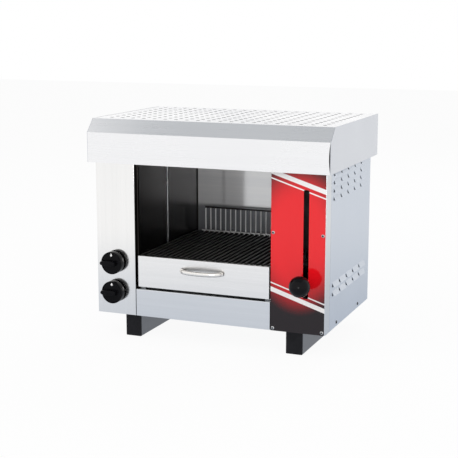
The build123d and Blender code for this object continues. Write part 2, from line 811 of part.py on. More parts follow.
# Burners: sheet boxes with ceramic plaques that glow towards the grid
burner_room = cavity_right - cavity_left - 2 * burner_side_gap - burner_gap
burner_width = burner_room / 2
burner_low = top - burner_drop
burner_high = burner_low + burner_height
burner_ends = (front + burner_front, front + burner_back)
burner_sides = (cavity_left + burner_side_gap, cavity_left + burner_side_gap + burner_width)
burner_box = block(burner_sides, burner_ends, (burner_low, burner_high))
burner_box = burner_box - block(
    (burner_sides[0] + burner_sheet, burner_sides[1] - burner_sheet),
    (burner_ends[0] + burner_sheet, burner_ends[1] - burner_sheet),
    (burner_low + burner_sheet, burner_high - burner_sheet),
)
burner_box = burner_box - block(
    (burner_sides[0] + burner_lip, burner_sides[1] - burner_lip),
    (burner_ends[0] + burner_lip, burner_ends[1] - burner_lip),
    (burner_low - cut_overrun, burner_low + 2 * burner_sheet),
)
burner_centre = (burner_sides[0] + burner_sides[1]) / 2
inner_start = burner_ends[0] + burner_sheet
inner_length = burner_ends[1] - burner_ends[0] - 2 * burner_sheet
plaque_length = (inner_length - (plaque_count + 1) * plaque_gap) / plaque_count
plaque_low = burner_low + burner_sheet
plaques = []
for plaque in range(plaque_count):
    plaque_start = inner_start + plaque_gap + plaque * (plaque_length + plaque_gap)
    plaques.append(
        block(
            (burner_sides[0] + burner_sheet + plaque_gap, burner_sides[1] - burner_sheet - plaque_gap),
            (plaque_start, plaque_start + plaque_length),
            (plaque_low, plaque_low + plaque_thickness),
        )
    )
mixer_level = burner_high + mixer_lift
mixer_bore = mixer_diameter - 2 * mixer_wall
mixer_mouth = left + mixer_start


def mixing_tube(centre, depth):
    """Air and gas mixing tube that turns down into a burner box."""
    start = (mixer_mouth, depth, mixer_level)
    end = (centre, depth, mixer_level)
    outlet = (centre, depth, burner_high)
    outside = rod(start, end, mixer_diameter) + rod(outlet, end, mixer_diameter)
    outside = outside + Pos(*end) * Sphere(mixer_diameter / 2)
    inside = rod((mixer_mouth + mixer_wall, depth, mixer_level), end, mixer_bore)
    inside = inside + Pos(*end) * Sphere(mixer_bore / 2)
    inside = inside + rod((centre, depth, burner_high - cut_overrun), end, mixer_bore)
    port = block(
        (mixer_mouth + 2 * mixer_wall, mixer_mouth + 2 * mixer_wall + air_port_length),
        (depth - mixer_diameter, depth + mixer_diameter),
        (mixer_level - air_port_height / 2, mixer_level + air_port_height / 2),
    )
    hole_start = (mixer_mouth - cut_overrun, depth, mixer_level)
    nozzle_hole = rod(hole_start, end, nozzle_diameter + 2 * fit_clearance)
    return outside - inside - port - nozzle_hole


def injector(depth):
    """Brass gas injector screwed in the closed end of a mixing tube."""
    seat = (mixer_mouth, depth, mixer_level)
    inlet = (mixer_mouth - injector_length, depth, mixer_level)
    tip = (mixer_mouth + nozzle_length, depth, mixer_level)
    return hexagon_bar(inlet, seat, injector_hex) + rod(seat, tip, nozzle_diameter)


right_centre = 2 * cavity_middle - burner_centre
left_depth = front + left_mixer_depth
right_depth = front + right_mixer_depth
inlet_low = burner_high - 2 * burner_sheet
burner_holes = []
for centre, depth in ((burner_centre, left_depth), (right_centre, right_depth)):
    burner_holes.append(rod((centre, depth, inlet_low), (centre, depth, mixer_level), mixer_bore))
save("left_burner_box", burner_box - burner_holes[0])
save("right_burner_box", across_cavity(burner_box) - burner_holes[1])
save("left_burner_plaques", *plaques)
save("right_burner_plaques", *[across_cavity(plaque) for plaque in plaques])
save("left_mixing_tube", mixing_tube(burner_centre, left_depth))
save("right_mixing_tube", mixing_tube(right_centre, right_depth))
save("injectors", injector(left_depth), injector(right_depth))
rail_heights = (burner_low + rail_lift, burner_low + rail_lift + rail_height)
front_rail = block(cavity_sides, (burner_ends[0] - rail_depth, burner_ends[0]), rail_heights)
back_rail = block(cavity_sides, (burner_ends[1], burner_ends[1] + rail_depth), rail_heights)
save("burner_rails", front_rail, back_rail)

# Gas valves behind the left panel, each with a turning plug, a sliding spindle and a knob
valve_sides = (knob_across - valve_width / 2, knob_across + valve_width / 2)
knob_back = front - knob_gap
grip_back = knob_back - knob_skirt - knob_body
knob_face = grip_back - knob_grip_rise
spindle_tip = knob_back - knob_bore_depth
socket_end = front + plug_front + plug_socket
spindle_end = socket_end - push_travel - push_spare
for name, level in knob_heights.items():
    valve_heights = (level - valve_width / 2, level + valve_width / 2)
    valve = block(valve_sides, (front + valve_front, front + valve_back), valve_heights)
    bonnet_start = (knob_across, front + sheet, level)
    valve = valve + rod(bonnet_start, (knob_across, front + valve_front, level), bonnet_diameter)
    plug_start = (knob_across, front + plug_front, level)
    plug_end = (knob_across, front + plug_back, level)
    plug_place = rod(plug_start, plug_end, plug_diameter + 2 * fit_clearance)
    channel = rod((knob_across, front, level), plug_start, spindle_diameter + 2 * spindle_bore_gap)
    save(f"{name}_valve", valve - plug_place - channel)
    flat_low = level + spindle_diameter / 2 - spindle_flat
    socket = rod(plug_start, (knob_across, socket_end, level), spindle_diameter + 2 * fit_clearance)
    socket = socket - block(
        (knob_across - spindle_diameter, knob_across + spindle_diameter),
        (front + plug_front, socket_end),
        (flat_low + fit_clearance, level + spindle_diameter),
    )
    save(f"{name}_valve_plug", rod(plug_start, plug_end, plug_diameter) - socket)
    spindle = rod((knob_across, spindle_tip, level), (knob_across, spindle_end, level), spindle_diameter)
    spindle = spindle - block(
        (knob_across - spindle_diameter, knob_across + spindle_diameter),
        (front + valve_front, spindle_end),
        (flat_low, level + spindle_diameter),
    )
    save(f"{name}_spindle", spindle)
    skirt_face = (knob_across, knob_back - knob_skirt, level)
    skirt = rod((knob_across, knob_back, level), skirt_face, knob_diameter)
    skirt = fillet(skirt.edges().group_by(Axis.Y)[0], knob_edge)
    crown_plane = Plane(origin=skirt_face, z_dir=(0, -1, 0))
    crown = crown_plane * Cone(
        knob_diameter / 2 - knob_taper,
        knob_diameter / 2 - 2 * knob_taper,
        knob_body,
        align=(Align.CENTER, Align.CENTER, Align.MIN),
    )
    grip = block(
        (knob_across - knob_diameter / 2 - knob_pointer, knob_across + knob_diameter / 2 - 2 * knob_taper),
        (knob_face, knob_back - knob_skirt / 2),
        (level - knob_grip_width / 2, level + knob_grip_width / 2),
    )
    grip = fillet(grip.edges().filter_by(Axis.Y), knob_grip_corner)
    grip = fillet(grip.faces().sort_by(Axis.Y)[0].edges(), knob_edge)
    bore = rod((knob_across, knob_back, level), (knob_across, spindle_tip, level), spindle_diameter)
    save(f"{name}_knob", skirt + crown + grip - bore)

# Manifold from the inlet at the back to both valves
pipe_deep = front + manifold_depth
hex_front = back - sheet - inlet_hex_length
manifold_route = [
    (knob_across, hex_front, inlet_height),
    (knob_across, pipe_deep, inlet_height),
    (knob_across, pipe_deep, knob_heights["upper"] + manifold_diameter),
]
manifold = pipe(manifold_route, manifold_diameter)
for level in knob_heights.values():
    stub_start = (knob_across, front + valve_back, level)
    manifold = manifold + rod(stub_start, (knob_across, pipe_deep, level), stub_diameter)
save("gas_manifold", manifold)
hex_back = (knob_across, back - sheet, inlet_height)
collar_face = (knob_across, back + inlet_collar_stand, inlet_height)
gas_inlet = hexagon_bar((knob_across, hex_front, inlet_height), hex_back, inlet_hex)
gas_inlet = gas_inlet + rod(hex_back, collar_face, inlet_collar)
inlet_end = (knob_across, hood_back - inlet_end_gap, inlet_height)
gas_inlet = gas_inlet + rod(collar_face, inlet_end, inlet_diameter)
save("gas_inlet", gas_inlet)

# Supply pipes from the valves up to the injectors
injector_inlet = mixer_mouth - injector_length
outlet_deep = front + outlet_depth
upper_route = [
    (knob_across, outlet_deep, knob_heights["upper"] + valve_width / 2),
    (knob_across, outlet_deep, mixer_level),
    (knob_across, left_depth, mixer_level),
    (injector_inlet, left_depth, mixer_level),
]
save("upper_supply_pipe", pipe(upper_route, pipe_diameter))
pipe_across = left + lower_pipe_inset
lower_route = [
    (valve_sides[0], outlet_deep, knob_heights["lower"]),
    (pipe_across, outlet_deep, knob_heights["lower"]),
    (pipe_across, outlet_deep, mixer_level),
    (pipe_across, right_depth, mixer_level),
    (injector_inlet, right_depth, mixer_level),
]
save("lower_supply_pipe", pipe(lower_route, pipe_diameter))
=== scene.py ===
import json
import math

import bmesh
import bpy
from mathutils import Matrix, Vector


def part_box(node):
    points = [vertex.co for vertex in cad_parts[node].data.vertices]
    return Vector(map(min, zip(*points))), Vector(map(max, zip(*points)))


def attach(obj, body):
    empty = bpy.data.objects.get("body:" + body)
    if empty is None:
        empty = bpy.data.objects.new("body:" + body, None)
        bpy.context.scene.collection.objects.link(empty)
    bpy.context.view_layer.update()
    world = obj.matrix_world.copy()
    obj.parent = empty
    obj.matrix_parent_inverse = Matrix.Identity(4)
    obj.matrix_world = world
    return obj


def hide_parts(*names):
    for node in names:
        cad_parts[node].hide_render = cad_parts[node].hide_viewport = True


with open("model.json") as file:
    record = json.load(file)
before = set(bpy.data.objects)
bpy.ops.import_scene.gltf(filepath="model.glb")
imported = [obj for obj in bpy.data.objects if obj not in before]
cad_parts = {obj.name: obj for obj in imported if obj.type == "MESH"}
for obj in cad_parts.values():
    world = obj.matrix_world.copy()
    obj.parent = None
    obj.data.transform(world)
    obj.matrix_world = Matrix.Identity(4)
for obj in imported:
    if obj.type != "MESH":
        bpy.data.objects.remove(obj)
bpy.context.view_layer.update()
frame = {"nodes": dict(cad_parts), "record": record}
nodes = frame["nodes"]

# Foot rails: two rectangular steel tubes that run front to back under the casing.
# They are cold drawn tube with a satin skin, bolted up to the base plate, and their colour is painted dark as the
# reflected shade under the casing.
pattern_middle = (0.3, 0.7)


def new_node(tree, kind, inputs=None, **settings):
    """A node with its settings, and each named input set to a value or linked to a socket."""
    node = tree.nodes.new(kind)
    for name, value in settings.items():
        setattr(node, name, value)
    for name, value in (inputs or {}).items():
        if isinstance(value, bpy.types.NodeSocket):
            tree.links.new(value, node.inputs[name])
        else:
            node.inputs[name].default_value = value
    return node


def new_finish(name, metallic, roughness):
    """A material with its shader's plain values set."""
    material = bpy.data.materials.new(name)
    material.use_nodes = True
    shader = material.node_tree.nodes["Principled BSDF"]
    shader.inputs["Metallic"].default_value = metallic
    shader.inputs["Roughness"].default_value = roughness
    return material, material.node_tree, shader


def feed(tree, shader, colour, roughness=None, normal=None):
    """Links a colour to a shader, and a roughness and a normal where they are given."""
    for name, look in (("Base Color", colour), ("Roughness", roughness), ("Normal", normal)):
        if look is not None:
            tree.links.new(look, shader.inputs[name])


def speckle(tree, per_metre, detail=2.0):
    """Grey noise on object coordinates, with its count of features per metre, also along each axis."""
    if isinstance(per_metre, float):
        per_metre = (per_metre, per_metre, per_metre)
    place = new_node(tree, "ShaderNodeTexCoord").outputs["Object"]
    stretch = new_node(tree, "ShaderNodeMapping", {"Vector": place, "Scale": per_metre})
    grey = new_node(tree, "ShaderNodeTexNoise", {
        "Vector": stretch.outputs["Vector"],
        "Scale": 1.0,
        "Detail": detail,
    })
    return grey.outputs["Fac"]


def shades(colour, darker, lighter):
    """A darker and a lighter shade of a colour."""
    return [channel * darker for channel in colour], [min(1.0, channel * lighter) for channel in colour]


def tint(tree, grey, dark, light):
    """Colour that runs from dark to light over the middle of a grey pattern."""
    ramp = new_node(tree, "ShaderNodeValToRGB", {"Fac": grey})
    for end, position, colour in zip(ramp.color_ramp.elements, pattern_middle, (dark, light)):
        end.position = position
        end.color = (*colour, 1.0)
    return ramp.outputs["Color"]


def spread(tree, grey, low, high):
    """Number that runs from low to high over the middle of a grey pattern."""
    return new_node(tree, "ShaderNodeMapRange", {
        "Value": grey,
        "From Min": pattern_middle[0],
        "From Max": pattern_middle[1],
        "To Min": low,
        "To Max": high,
    }).outputs["Result"]


def uneven_gloss(tree, grey, roughness, share):
    """Roughness that departs to both sides by a share, over a grey pattern."""
    return spread(tree, grey, roughness * (1.0 - share), roughness * (1.0 + share))


def relief(tree, grey, height):
    """Surface normal of a fine relief, with its height in metres."""
    bump = new_node(tree, "ShaderNodeBump", {"Height": grey, "Strength": 1.0, "Distance": height})
    return bump.outputs["Normal"]


def half_of_each(tree, first, second):
    """Mean of two grey patterns."""
    return new_node(tree, "ShaderNodeMix", {"Factor": 0.5, "A": first, "B": second}).outputs["Result"]


def brushed_steel(name, colour, grain, roughness, contrast):
    """Steel sheet brushed along one axis: hair lines, wider bands and faint clouds."""
    material, tree, shader = new_finish(name, 1.0, roughness)
    quarter_turn = 0.25
    shader.inputs["Anisotropic"].default_value = 0.7
    shader.inputs["Anisotropic Rotation"].default_value = 0.0 if grain == "Z" else quarter_turn
    hair_along, hair_across, hair_height = 5.0, 1100.0, 0.00001
    bands_along, bands_across = 0.8, 90.0
    hair = speckle(tree, [hair_along if axis == grain else hair_across for axis in "XYZ"], 3.0)
    bands = speckle(tree, [bands_along if axis == grain else bands_across for axis in "XYZ"])
    clouds = speckle(tree, 7.0, 3.0)
    lines = half_of_each(tree, hair, bands)
    colours = tint(tree, lines, *shades(colour, 1.0 - contrast, 1.0 + contrast))
    worn = uneven_gloss(tree, half_of_each(tree, lines, clouds), roughness, 0.12)
    feed(tree, shader, colours, worn, relief(tree, hair, hair_height))
    return material


def coat(material, *names):
    """Gives CAD pieces their finish."""
    for name in names:
        mesh = nodes[name].data
        mesh.materials.clear()
        mesh.materials.append(material)


shaded_tube_skin = brushed_steel("foot tube skin", (0.2, 0.2, 0.205), "Y", 0.38, 0.06)
coat(shaded_tube_skin, "left_foot_rail", "right_foot_rail")


# End caps: black moulded plastic plugs that close the four ends of the foot tubes.
# Their faces have a fine spark-eroded grain and slightly softened edges.
def moulded_plastic(name, colour, roughness, gloss, grain_height):
    """Moulded plastic with a fine grain and a little unevenness of its gloss."""
    material, tree, shader = new_finish(name, 0.0, roughness)
    shader.inputs["Specular IOR Level"].default_value = gloss
    grain = speckle(tree, 1600.0)
    patches = speckle(tree, 40.0, 3.0)
    colours = tint(tree, patches, *shades(colour, 0.8, 1.25))
    uneven = uneven_gloss(tree, patches, roughness, 0.15)
    feed(tree, shader, colours, uneven, relief(tree, grain, grain_height))
    return material


coat(moulded_plastic("cap plastic", (0.01, 0.01, 0.012), 0.5, 0.16, 0.00004), "foot_end_caps")


# Base plate, back panel, drawer runners, floor and small brackets: zinc coated sheet.
# The zinc shows as soft grey patches, and the bolts through it are bright plated.
def zinc_sheet(name, colour):
    """Zinc coated steel with the faint crystal patches of the coating."""
    material, tree, shader = new_finish(name, 1.0, 0.42)
    place = new_node(tree, "ShaderNodeTexCoord").outputs["Object"]
    crystals = new_node(tree, "ShaderNodeTexVoronoi", {"Vector": place, "Scale": 160.0})
    patches = half_of_each(tree, crystals.outputs["Color"], speckle(tree, 30.0, 3.0))
    feed(tree, shader, tint(tree, patches, *shades(colour, 0.9, 1.08)), spread(tree, patches, 0.36, 0.5))
    return material


zinc = zinc_sheet("zinc sheet", (0.58, 0.6, 0.62))
coat(zinc, "base_plate", "back_panel", "hood_spacers", "drawer_runners", "cavity_floor")
coat(zinc, "burner_rails", "guide_brackets")


def plated_metal(name, colour, roughness):
    """Bright plated or turned metal with faint handling marks."""
    material, tree, shader = new_finish(name, 1.0, roughness)
    marks = speckle(tree, 55.0, 4.0)
    colours = tint(tree, marks, *shades(colour, 0.92, 1.0))
    feed(tree, shader, colours, uneven_gloss(tree, marks, roughness, 0.3))
    return material


plated_steel = plated_metal("plated steel", (0.7, 0.71, 0.72), 0.22)
coat(plated_steel, "foot_bolts")


# Front panels: the left control panel, the right column, the lower panel and the rail over the opening.
# They are stainless sheet folded at the edges, brushed upright on the columns and level on the rest.
def worked_out(tree, operation, first, second=0.0):
    """Result of one operation on two values, each a socket or a number."""
    return new_node(tree, "ShaderNodeMath", {0: first, 1: second}, operation=operation).outputs["Value"]


def place_parts(tree):
    """Object coordinates as X, Y and Z."""
    place = new_node(tree, "ShaderNodeTexCoord").outputs["Object"]
    return new_node(tree, "ShaderNodeSeparateXYZ", {"Vector": place}).outputs


def laid_over(tree, under, over, cover):
    """One colour laid over another by a mask."""
    return new_node(tree, "ShaderNodeMix", {0: cover, 6: under, 7: over}, data_type="RGBA").outputs[2]


def lay_on(material, colour, cover):
    """Lays a colour over a finish by a mask."""
    tree = material.node_tree
    base = tree.nodes["Principled BSDF"].inputs["Base Color"]
    tree.links.new(laid_over(tree, base.links[0].from_socket, colour, cover), base)


def stain_within(material, colour, **limits):
    """Lays a colour over the part of a finish between limits along X, Y or Z."""
    tree = material.node_tree
    place = place_parts(tree)
    cover = 1.0
    for axis, (low, high) in limits.items():
        above = worked_out(tree, "GREATER_THAN", place[axis], low)
        below = worked_out(tree, "LESS_THAN", place[axis], high)
        cover = worked_out(tree, "MULTIPLY", worked_out(tree, "MULTIPLY", above, below), cover)
    lay_on(material, colour, cover)


lower_low, lower_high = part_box("lower_front_panel")
fold_width = 0.0035
edge_depth = 0.0006
beyond = 1.0
behind_face = (lower_low.y + edge_depth, beyond)
painted_shade_dark = (0.03, 0.027, 0.025, 1.0)
column_steel = brushed_steel("column steel", (0.905, 0.9, 0.892), "Z", 0.13, 0.03)
edge_steel = brushed_steel("right column steel", (0.72, 0.74, 0.76), "Z", 0.3, 0.025)
# The lower panel and the rail over the opening are painted cooler and darker than the columns as shade.
shaded_lower_steel = brushed_steel("lower panel steel", (0.76, 0.78, 0.81), "X", 0.3, 0.03)
# The returns behind the front faces are painted near black as shade: the jambs of the opening on both column
# panels and the side edges of the lower panel.
for steel in (column_steel, edge_steel):
    stain_within(steel, painted_shade_dark, X=(lower_low.x - fold_width, lower_high.x + fold_width), Y=behind_face)
for seam in ((-beyond, lower_low.x + edge_depth), (lower_high.x - edge_depth, beyond)):
    stain_within(shaded_lower_steel, painted_shade_dark, X=seam, Y=behind_face)
coat(column_steel, "left_front_panel")
coat(edge_steel, "right_front_panel")
coat(shaded_lower_steel, "lower_front_panel", "upper_front_rail")

# Side panels: stainless sheet with rows of pressed louvres that open to the front and down.
# The sheet is smooth, its colour is painted darker and cooler than the front as shade, and it is screwed to the
# base plate's flanges.
shaded_side_steel = brushed_steel("side panel steel", (0.66, 0.7, 0.76), "Z", 0.46, 0.02)
coat(shaded_side_steel, "left_side_panel", "right_side_panel")


# Side screws: button head screws with a hexagon socket, blackened, two on each side.
# The heads stand on the side panels close to the bottom edge.
def open_tree(name, sizes):
    """A geometry node tree with a geometry in and out, a named input for each size and the material."""
    tree = bpy.data.node_groups.new(name, "GeometryNodeTree")
    for given, kind in {"Geometry": "Geometry", **sizes, "Material": "Material"}.items():
        tree.interface.new_socket(given, in_out="INPUT", socket_type="NodeSocket" + kind)
    tree.interface.new_socket("Geometry", in_out="OUTPUT", socket_type="NodeSocketGeometry")
    return tree, tree.nodes.new("NodeGroupInput").outputs


def close_tree(tree, geometry, material):
    """Makes instances real, gives them the material and ends the tree."""
    real = new_node(tree, "GeometryNodeRealizeInstances", {"Geometry": geometry})
    dressed = new_node(tree, "GeometryNodeSetMaterial", {
        "Geometry": real.outputs["Geometry"],
        "Material": material,
    })
    new_node(tree, "NodeGroupOutput", {"Geometry": dressed.outputs["Geometry"]})
    return tree


def set_on_points(tree, points, shape, **turn):
    """A shape set on each point, with its rotation where that is given."""
    return new_node(tree, "GeometryNodeInstanceOnPoints", {
        "Points": points,
        "Instance": shape,
        **turn,
    }).outputs["Instances"]


def grown(name, seed_mesh, tree, values):
    """Runs a geometry node tree on a seed mesh and returns the result as a plain mesh."""
    seed = bpy.data.objects.new(name + "_seed", seed_mesh)
    bpy.context.scene.collection.objects.link(seed)
    modifier = seed.modifiers.new("grow", "NODES")
    modifier.node_group = tree
    for item in tree.interface.items_tree:
        if item.in_out == "INPUT" and item.name in values:
            modifier[item.identifier] = values[item.name]
    mesh = bpy.data.meshes.new_from_object(seed.evaluated_get(bpy.context.evaluated_depsgraph_get()))
    mesh.name = name
    bpy.data.objects.remove(seed)
    return mesh


def smooth(mesh, degrees=35.0):
    """Smooth shading with creases kept at sharp edges."""
    mesh.shade_smooth()
    mesh.set_sharp_from_angle(angle=math.radians(degrees))
    return mesh


def show(name, mesh, body, slot, *replaced):
    """Puts a finished mesh in the scene as a piece that rides on a body and stands for CAD nodes."""
    piece = bpy.data.objects.new(name, mesh)
    bpy.context.scene.collection.objects.link(piece)
    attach(piece, body)
    if replaced:
        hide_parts(*replaced)


def screw_tree():
    """Button heads with a hexagon socket, one on each point, turned along the point's out attribute."""
    tree, given = open_tree("screw heads", {
        "Head Diameter": "Float",
        "Head Height": "Float",
        "Socket Width": "Float",
    })
    socket_lift = 1.15
    full_height = worked_out(tree, "MULTIPLY", given["Head Height"], 2.0)
    ball = new_node(tree, "GeometryNodeMeshUVSphere", {"Segments": 32, "Rings": 16, "Radius": 0.5})
    size = new_node(tree, "ShaderNodeCombineXYZ", {
        "X": given["Head Diameter"],
        "Y": given["Head Diameter"],
        "Z": full_height,
    })
    dome = new_node(tree, "GeometryNodeTransform", {
        "Geometry": ball.outputs["Mesh"],
        "Scale": size.outputs["Vector"],
    })
    socket = new_node(tree, "GeometryNodeMeshCylinder", {
        "Vertices": 6,
        "Radius": worked_out(tree, "MULTIPLY", given["Socket Width"], 0.5),
        "Depth": full_height,
    })
    lift = new_node(tree, "ShaderNodeCombineXYZ", {
        "Z": worked_out(tree, "MULTIPLY", given["Head Height"], socket_lift),
    })
    raised = new_node(tree, "GeometryNodeTransform", {
        "Geometry": socket.outputs["Mesh"],
        "Translation": lift.outputs["Vector"],
    })
    cut = new_node(tree, "GeometryNodeMeshBoolean", {
        "Mesh 1": dome.outputs["Geometry"],
        "Mesh 2": raised.outputs["Geometry"],
    }, operation="DIFFERENCE")
    out = new_node(tree, "GeometryNodeInputNamedAttribute", {"Name": "out"}, data_type="FLOAT_VECTOR")
    turn = new_node(tree, "FunctionNodeAlignRotationToVector", {"Vector": out.outputs["Attribute"]}, axis="Z")
    heads = set_on_points(tree, given["Geometry"], cut.outputs["Mesh"], Rotation=turn.outputs["Rotation"])
    return close_tree(tree, heads, given["Material"])


screw_heads = screw_tree()
screw_head_width = 0.008
screw_head_height = 0.0022
screw_socket_width = 0.005
socket_reach = 0.0026
socket_shade = plated_metal("socket shade", (0.025, 0.025, 0.027), 0.4)


def screw_set(name, places, directions, finish):
    """Screw heads on places, each facing its direction, with the insides of their sockets in shade."""
    points = bpy.data.meshes.new(name + "_places")
    points.from_pydata(places, [], [])
    out = points.attributes.new("out", "FLOAT_VECTOR", "POINT")
    for row, direction in zip(out.data, directions):
        row.vector = direction
    heads = grown(name, points, screw_heads, {
        "Head Diameter": screw_head_width,
        "Head Height": screw_head_height,
        "Socket Width": screw_socket_width,
        "Material": finish,
    })
    heads.materials.append(socket_shade)
    for face in heads.polygons:
        if min((face.center - Vector(place)).length for place in places) < socket_reach:
            face.material_index = len(heads.materials) - 1
    return smooth(heads)


screw_low, screw_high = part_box("side_screws")
screw_level = (screw_low.z + screw_high.z) / 2
side_face = screw_high.x - screw_head_height
side_places = []
side_directions = []
for outward in (1.0, -1.0):
    for depth in (screw_low.y + screw_head_width / 2, screw_high.y - screw_head_width / 2):
        side_places.append((outward * side_face, depth, screw_level))
        side_directions.append((outward, 0.0, 0.0))
black_screw = plated_metal("blackened steel", (0.1, 0.1, 0.105), 0.3)
side_heads = screw_set("side_screw_heads", side_places, side_directions, black_screw)
show("side_screw_heads", side_heads, "chassis", "fastener_steel", "side_screws")


# Cavity: steel walls around the grilling space, dulled by heat.
# The side walls are near black and still glossy, and the back wall keeps its level brushing and is darker below a
# level just over the top of the rear fence.
def eased(tree, value, start, stop):
    """Smooth step from 0 at start to 1 at stop."""
    return new_node(tree, "ShaderNodeMapRange", {
        "Value": value,
        "From Min": start,
        "From Max": stop,
    }, interpolation_type="SMOOTHSTEP").outputs["Result"]


wall_steel = brushed_steel("browned wall steel", (0.05, 0.046, 0.045), "Y", 0.24, 0.14)
back_steel = brushed_steel("back wall steel", (0.93, 0.95, 0.985), "X", 0.11, 0.11)
back_tree = back_steel.node_tree
back_shader = back_tree.nodes["Principled BSDF"]
back_shader.inputs["Metallic"].default_value = 0.42
back_shader.inputs["Anisotropic"].default_value = 0.4
# The back wall is darker below a level just over the top of the rear fence.
lower_wall_grey = (0.34, 0.35, 0.375, 1.0)
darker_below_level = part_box("rear_fence")[1].z + 0.002
darker_fade = 0.008
below_darker_level = eased(back_tree, place_parts(back_tree)["Z"], darker_below_level + darker_fade, darker_below_level - darker_fade)
lay_on(back_steel, lower_wall_grey, below_darker_level)
# A narrow strip of the back wall at its corner with the left wall is painted near black as shade.
corner_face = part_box("left_cavity_wall")[1].x
corner_width = 0.0025
stain_within(back_steel, painted_shade_dark, X=(corner_face - corner_width, corner_face + corner_width))
tray_steel = brushed_steel("tray steel", (0.5, 0.5, 0.5), "Y", 0.3, 0.06)
coat(wall_steel, "left_cavity_wall", "right_cavity_wall")
coat(back_steel, "back_cavity_wall")
coat(tray_steel, "drip_tray")

# Burners: two sheet boxes over the grid, each with three pierced ceramic plaques.
# Mixing tubes bring gas and air from brass injectors, and a probe watches each flame.
burner_steel = brushed_steel("heat tinted steel", (0.42, 0.4, 0.37), "X", 0.4, 0.1)
coat(burner_steel, "left_burner_box", "right_burner_box", "left_mixing_tube", "right_mixing_tube", "thermocouples")
brass = plated_metal("turned brass", (0.72, 0.52, 0.22), 0.28)
coat(brass, "injectors")
ceramic, ceramic_tree, ceramic_shader = new_finish("burner ceramic", 0.0, 0.85)
pores = speckle(ceramic_tree, 500.0, 4.0)
pore_depth = 0.0002
ceramic_tint = tint(ceramic_tree, pores, (0.62, 0.55, 0.44), (0.82, 0.76, 0.65))
feed(ceramic_tree, ceramic_shader, ceramic_tint, normal=relief(ceramic_tree, pores, pore_depth))
coat(ceramic, "left_burner_plaques", "right_burner_plaques")


def pierced_tree():
    """A level grid of short dark plugs, painted shade that reads as the flame holes of a plaque."""
    tree, given = open_tree("flame holes", {"Hole Diameter": "Float", "Hole Depth": "Float"})
    plug = new_node(tree, "GeometryNodeMeshCylinder", {
        "Vertices": 8,
        "Radius": worked_out(tree, "MULTIPLY", given["Hole Diameter"], 0.5),
        "Depth": given["Hole Depth"],
    })
    plugs = set_on_points(tree, given["Geometry"], plug.outputs["Mesh"])
    return close_tree(tree, plugs, given["Material"])


hole_pitch = 0.008
hole_places = []
for side in ("left", "right"):
    low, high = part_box(side + "_burner_plaques")
    columns = int((high.x - low.x) / hole_pitch) - 1
    rows = int((high.y - low.y) / hole_pitch) - 1
    for row in range(rows):
        for column in range(columns):
            across = (low.x + high.x) / 2 + (column - (columns - 1) / 2) * hole_pitch
            deep = (low.y + high.y) / 2 + (row - (rows - 1) / 2) * hole_pitch
            hole_places.append((across, deep, low.z))
hole_points = bpy.data.meshes.new("flame hole places")
hole_points.from_pydata(hole_places, [], [])
# The plugs are painted shade standing in for the holes.
flame_holes = grown("burner_flame_holes", hole_points, pierced_tree(), {
    "Hole Diameter": 0.0032,
    "Hole Depth": 0.0006,
    "Material": moulded_plastic("soot", (0.02, 0.018, 0.016), 0.9, 0.2, 0.0001),
})
show("burner_flame_holes", flame_holes, "chassis", "plaque_ceramic")

# Gas valves and pipes: turned brass valve bodies behind the left panel, fed by a manifold.
# Drawn aluminium pipes lead up to the injectors.
coat(brass, "upper_valve", "lower_valve", "upper_valve_plug", "lower_valve_plug", "upper_spindle", "lower_spindle")
pipe_skin = plated_metal("drawn aluminium", (0.7, 0.71, 0.72), 0.35)
coat(pipe_skin, "gas_manifold", "upper_supply_pipe", "lower_supply_pipe")


# Gas inlet: a brass nipple at the back, with a hexagon inside the casing, a collar and a cut thread.
# The thread is a helix round a plain root, and the nipple is bored through.
def join_rings(shape, rings):
    """Adds the faces between each ring of points and the next."""
    faces = []
    for first, second in zip(rings, rings[1:]):
        for here in range(len(first)):
            there = (here + 1) % len(first)
            faces.append(shape.faces.new((first[here], first[there], second[there], second[here])))
    return faces


def close_rings(shape, rings):
    """Makes a solid of a stack of rings: the walls between them and a cap on each end."""
    faces = [shape.faces.new(rings[0]), shape.faces.new(rings[-1])] + join_rings(shape, rings)
    bmesh.ops.recalc_face_normals(shape, faces=faces)


def lathe(profile, origin, steps, ends_on_axis):
    """Turns a profile of radius and depth round an axis along Y through a point."""
    shape = bmesh.new()
    rings = []
    for radius, depth in profile:
        ring = []
        for step in range(steps):
            angle = 2 * math.pi * step / steps
            across = origin[0] + radius * math.cos(angle)
            up = origin[2] + radius * math.sin(angle)
            ring.append(shape.verts.new((across, origin[1] + depth, up)))
        rings.append(ring)
    join_rings(shape, rings if ends_on_axis else rings + rings[:1])
    bmesh.ops.remove_doubles(shape, verts=shape.verts, dist=0.000001)
    bmesh.ops.recalc_face_normals(shape, faces=shape.faces)
    return shape


def to_mesh(shape, name, material):
    """Turns a bmesh into a mesh with one material."""
    mesh = bpy.data.meshes.new(name)
    shape.to_mesh(mesh)
    shape.free()
    mesh.materials.append(material)
    return mesh


inlet_low, inlet_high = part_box("gas_inlet")
inlet_mount = next(mount for mount in frame["record"]["mounts"] if mount["name"] == "gas_inlet")
inlet_axis = (inlet_mount["pos_m"][0], 0.0, inlet_mount["pos_m"][2])
thread_pitch = 0.0018
thread_depth = 0.0011
root_radius = inlet_mount["dims"]["r_mm"] / 1000 - thread_depth
bore_radius = 0.0068
nipple_length = inlet_mount["dims"]["length_mm"] / 1000
nipple_start = inlet_high.y - nipple_length
collar_radius = 0.012
collar_start = nipple_start - 0.0022
hexagon_radius = (inlet_high.z - inlet_low.z) / 2
inlet_steps = 64
inlet_shape = lathe([
    (bore_radius, inlet_low.y),
    (collar_radius, inlet_low.y),
    (collar_radius, nipple_start),
    (root_radius, nipple_start),
    (root_radius, inlet_high.y - thread_depth),
    (root_radius - thread_depth, inlet_high.y),
    (bore_radius, inlet_high.y),
], inlet_axis, inlet_steps, False)
hexagon_rings = []
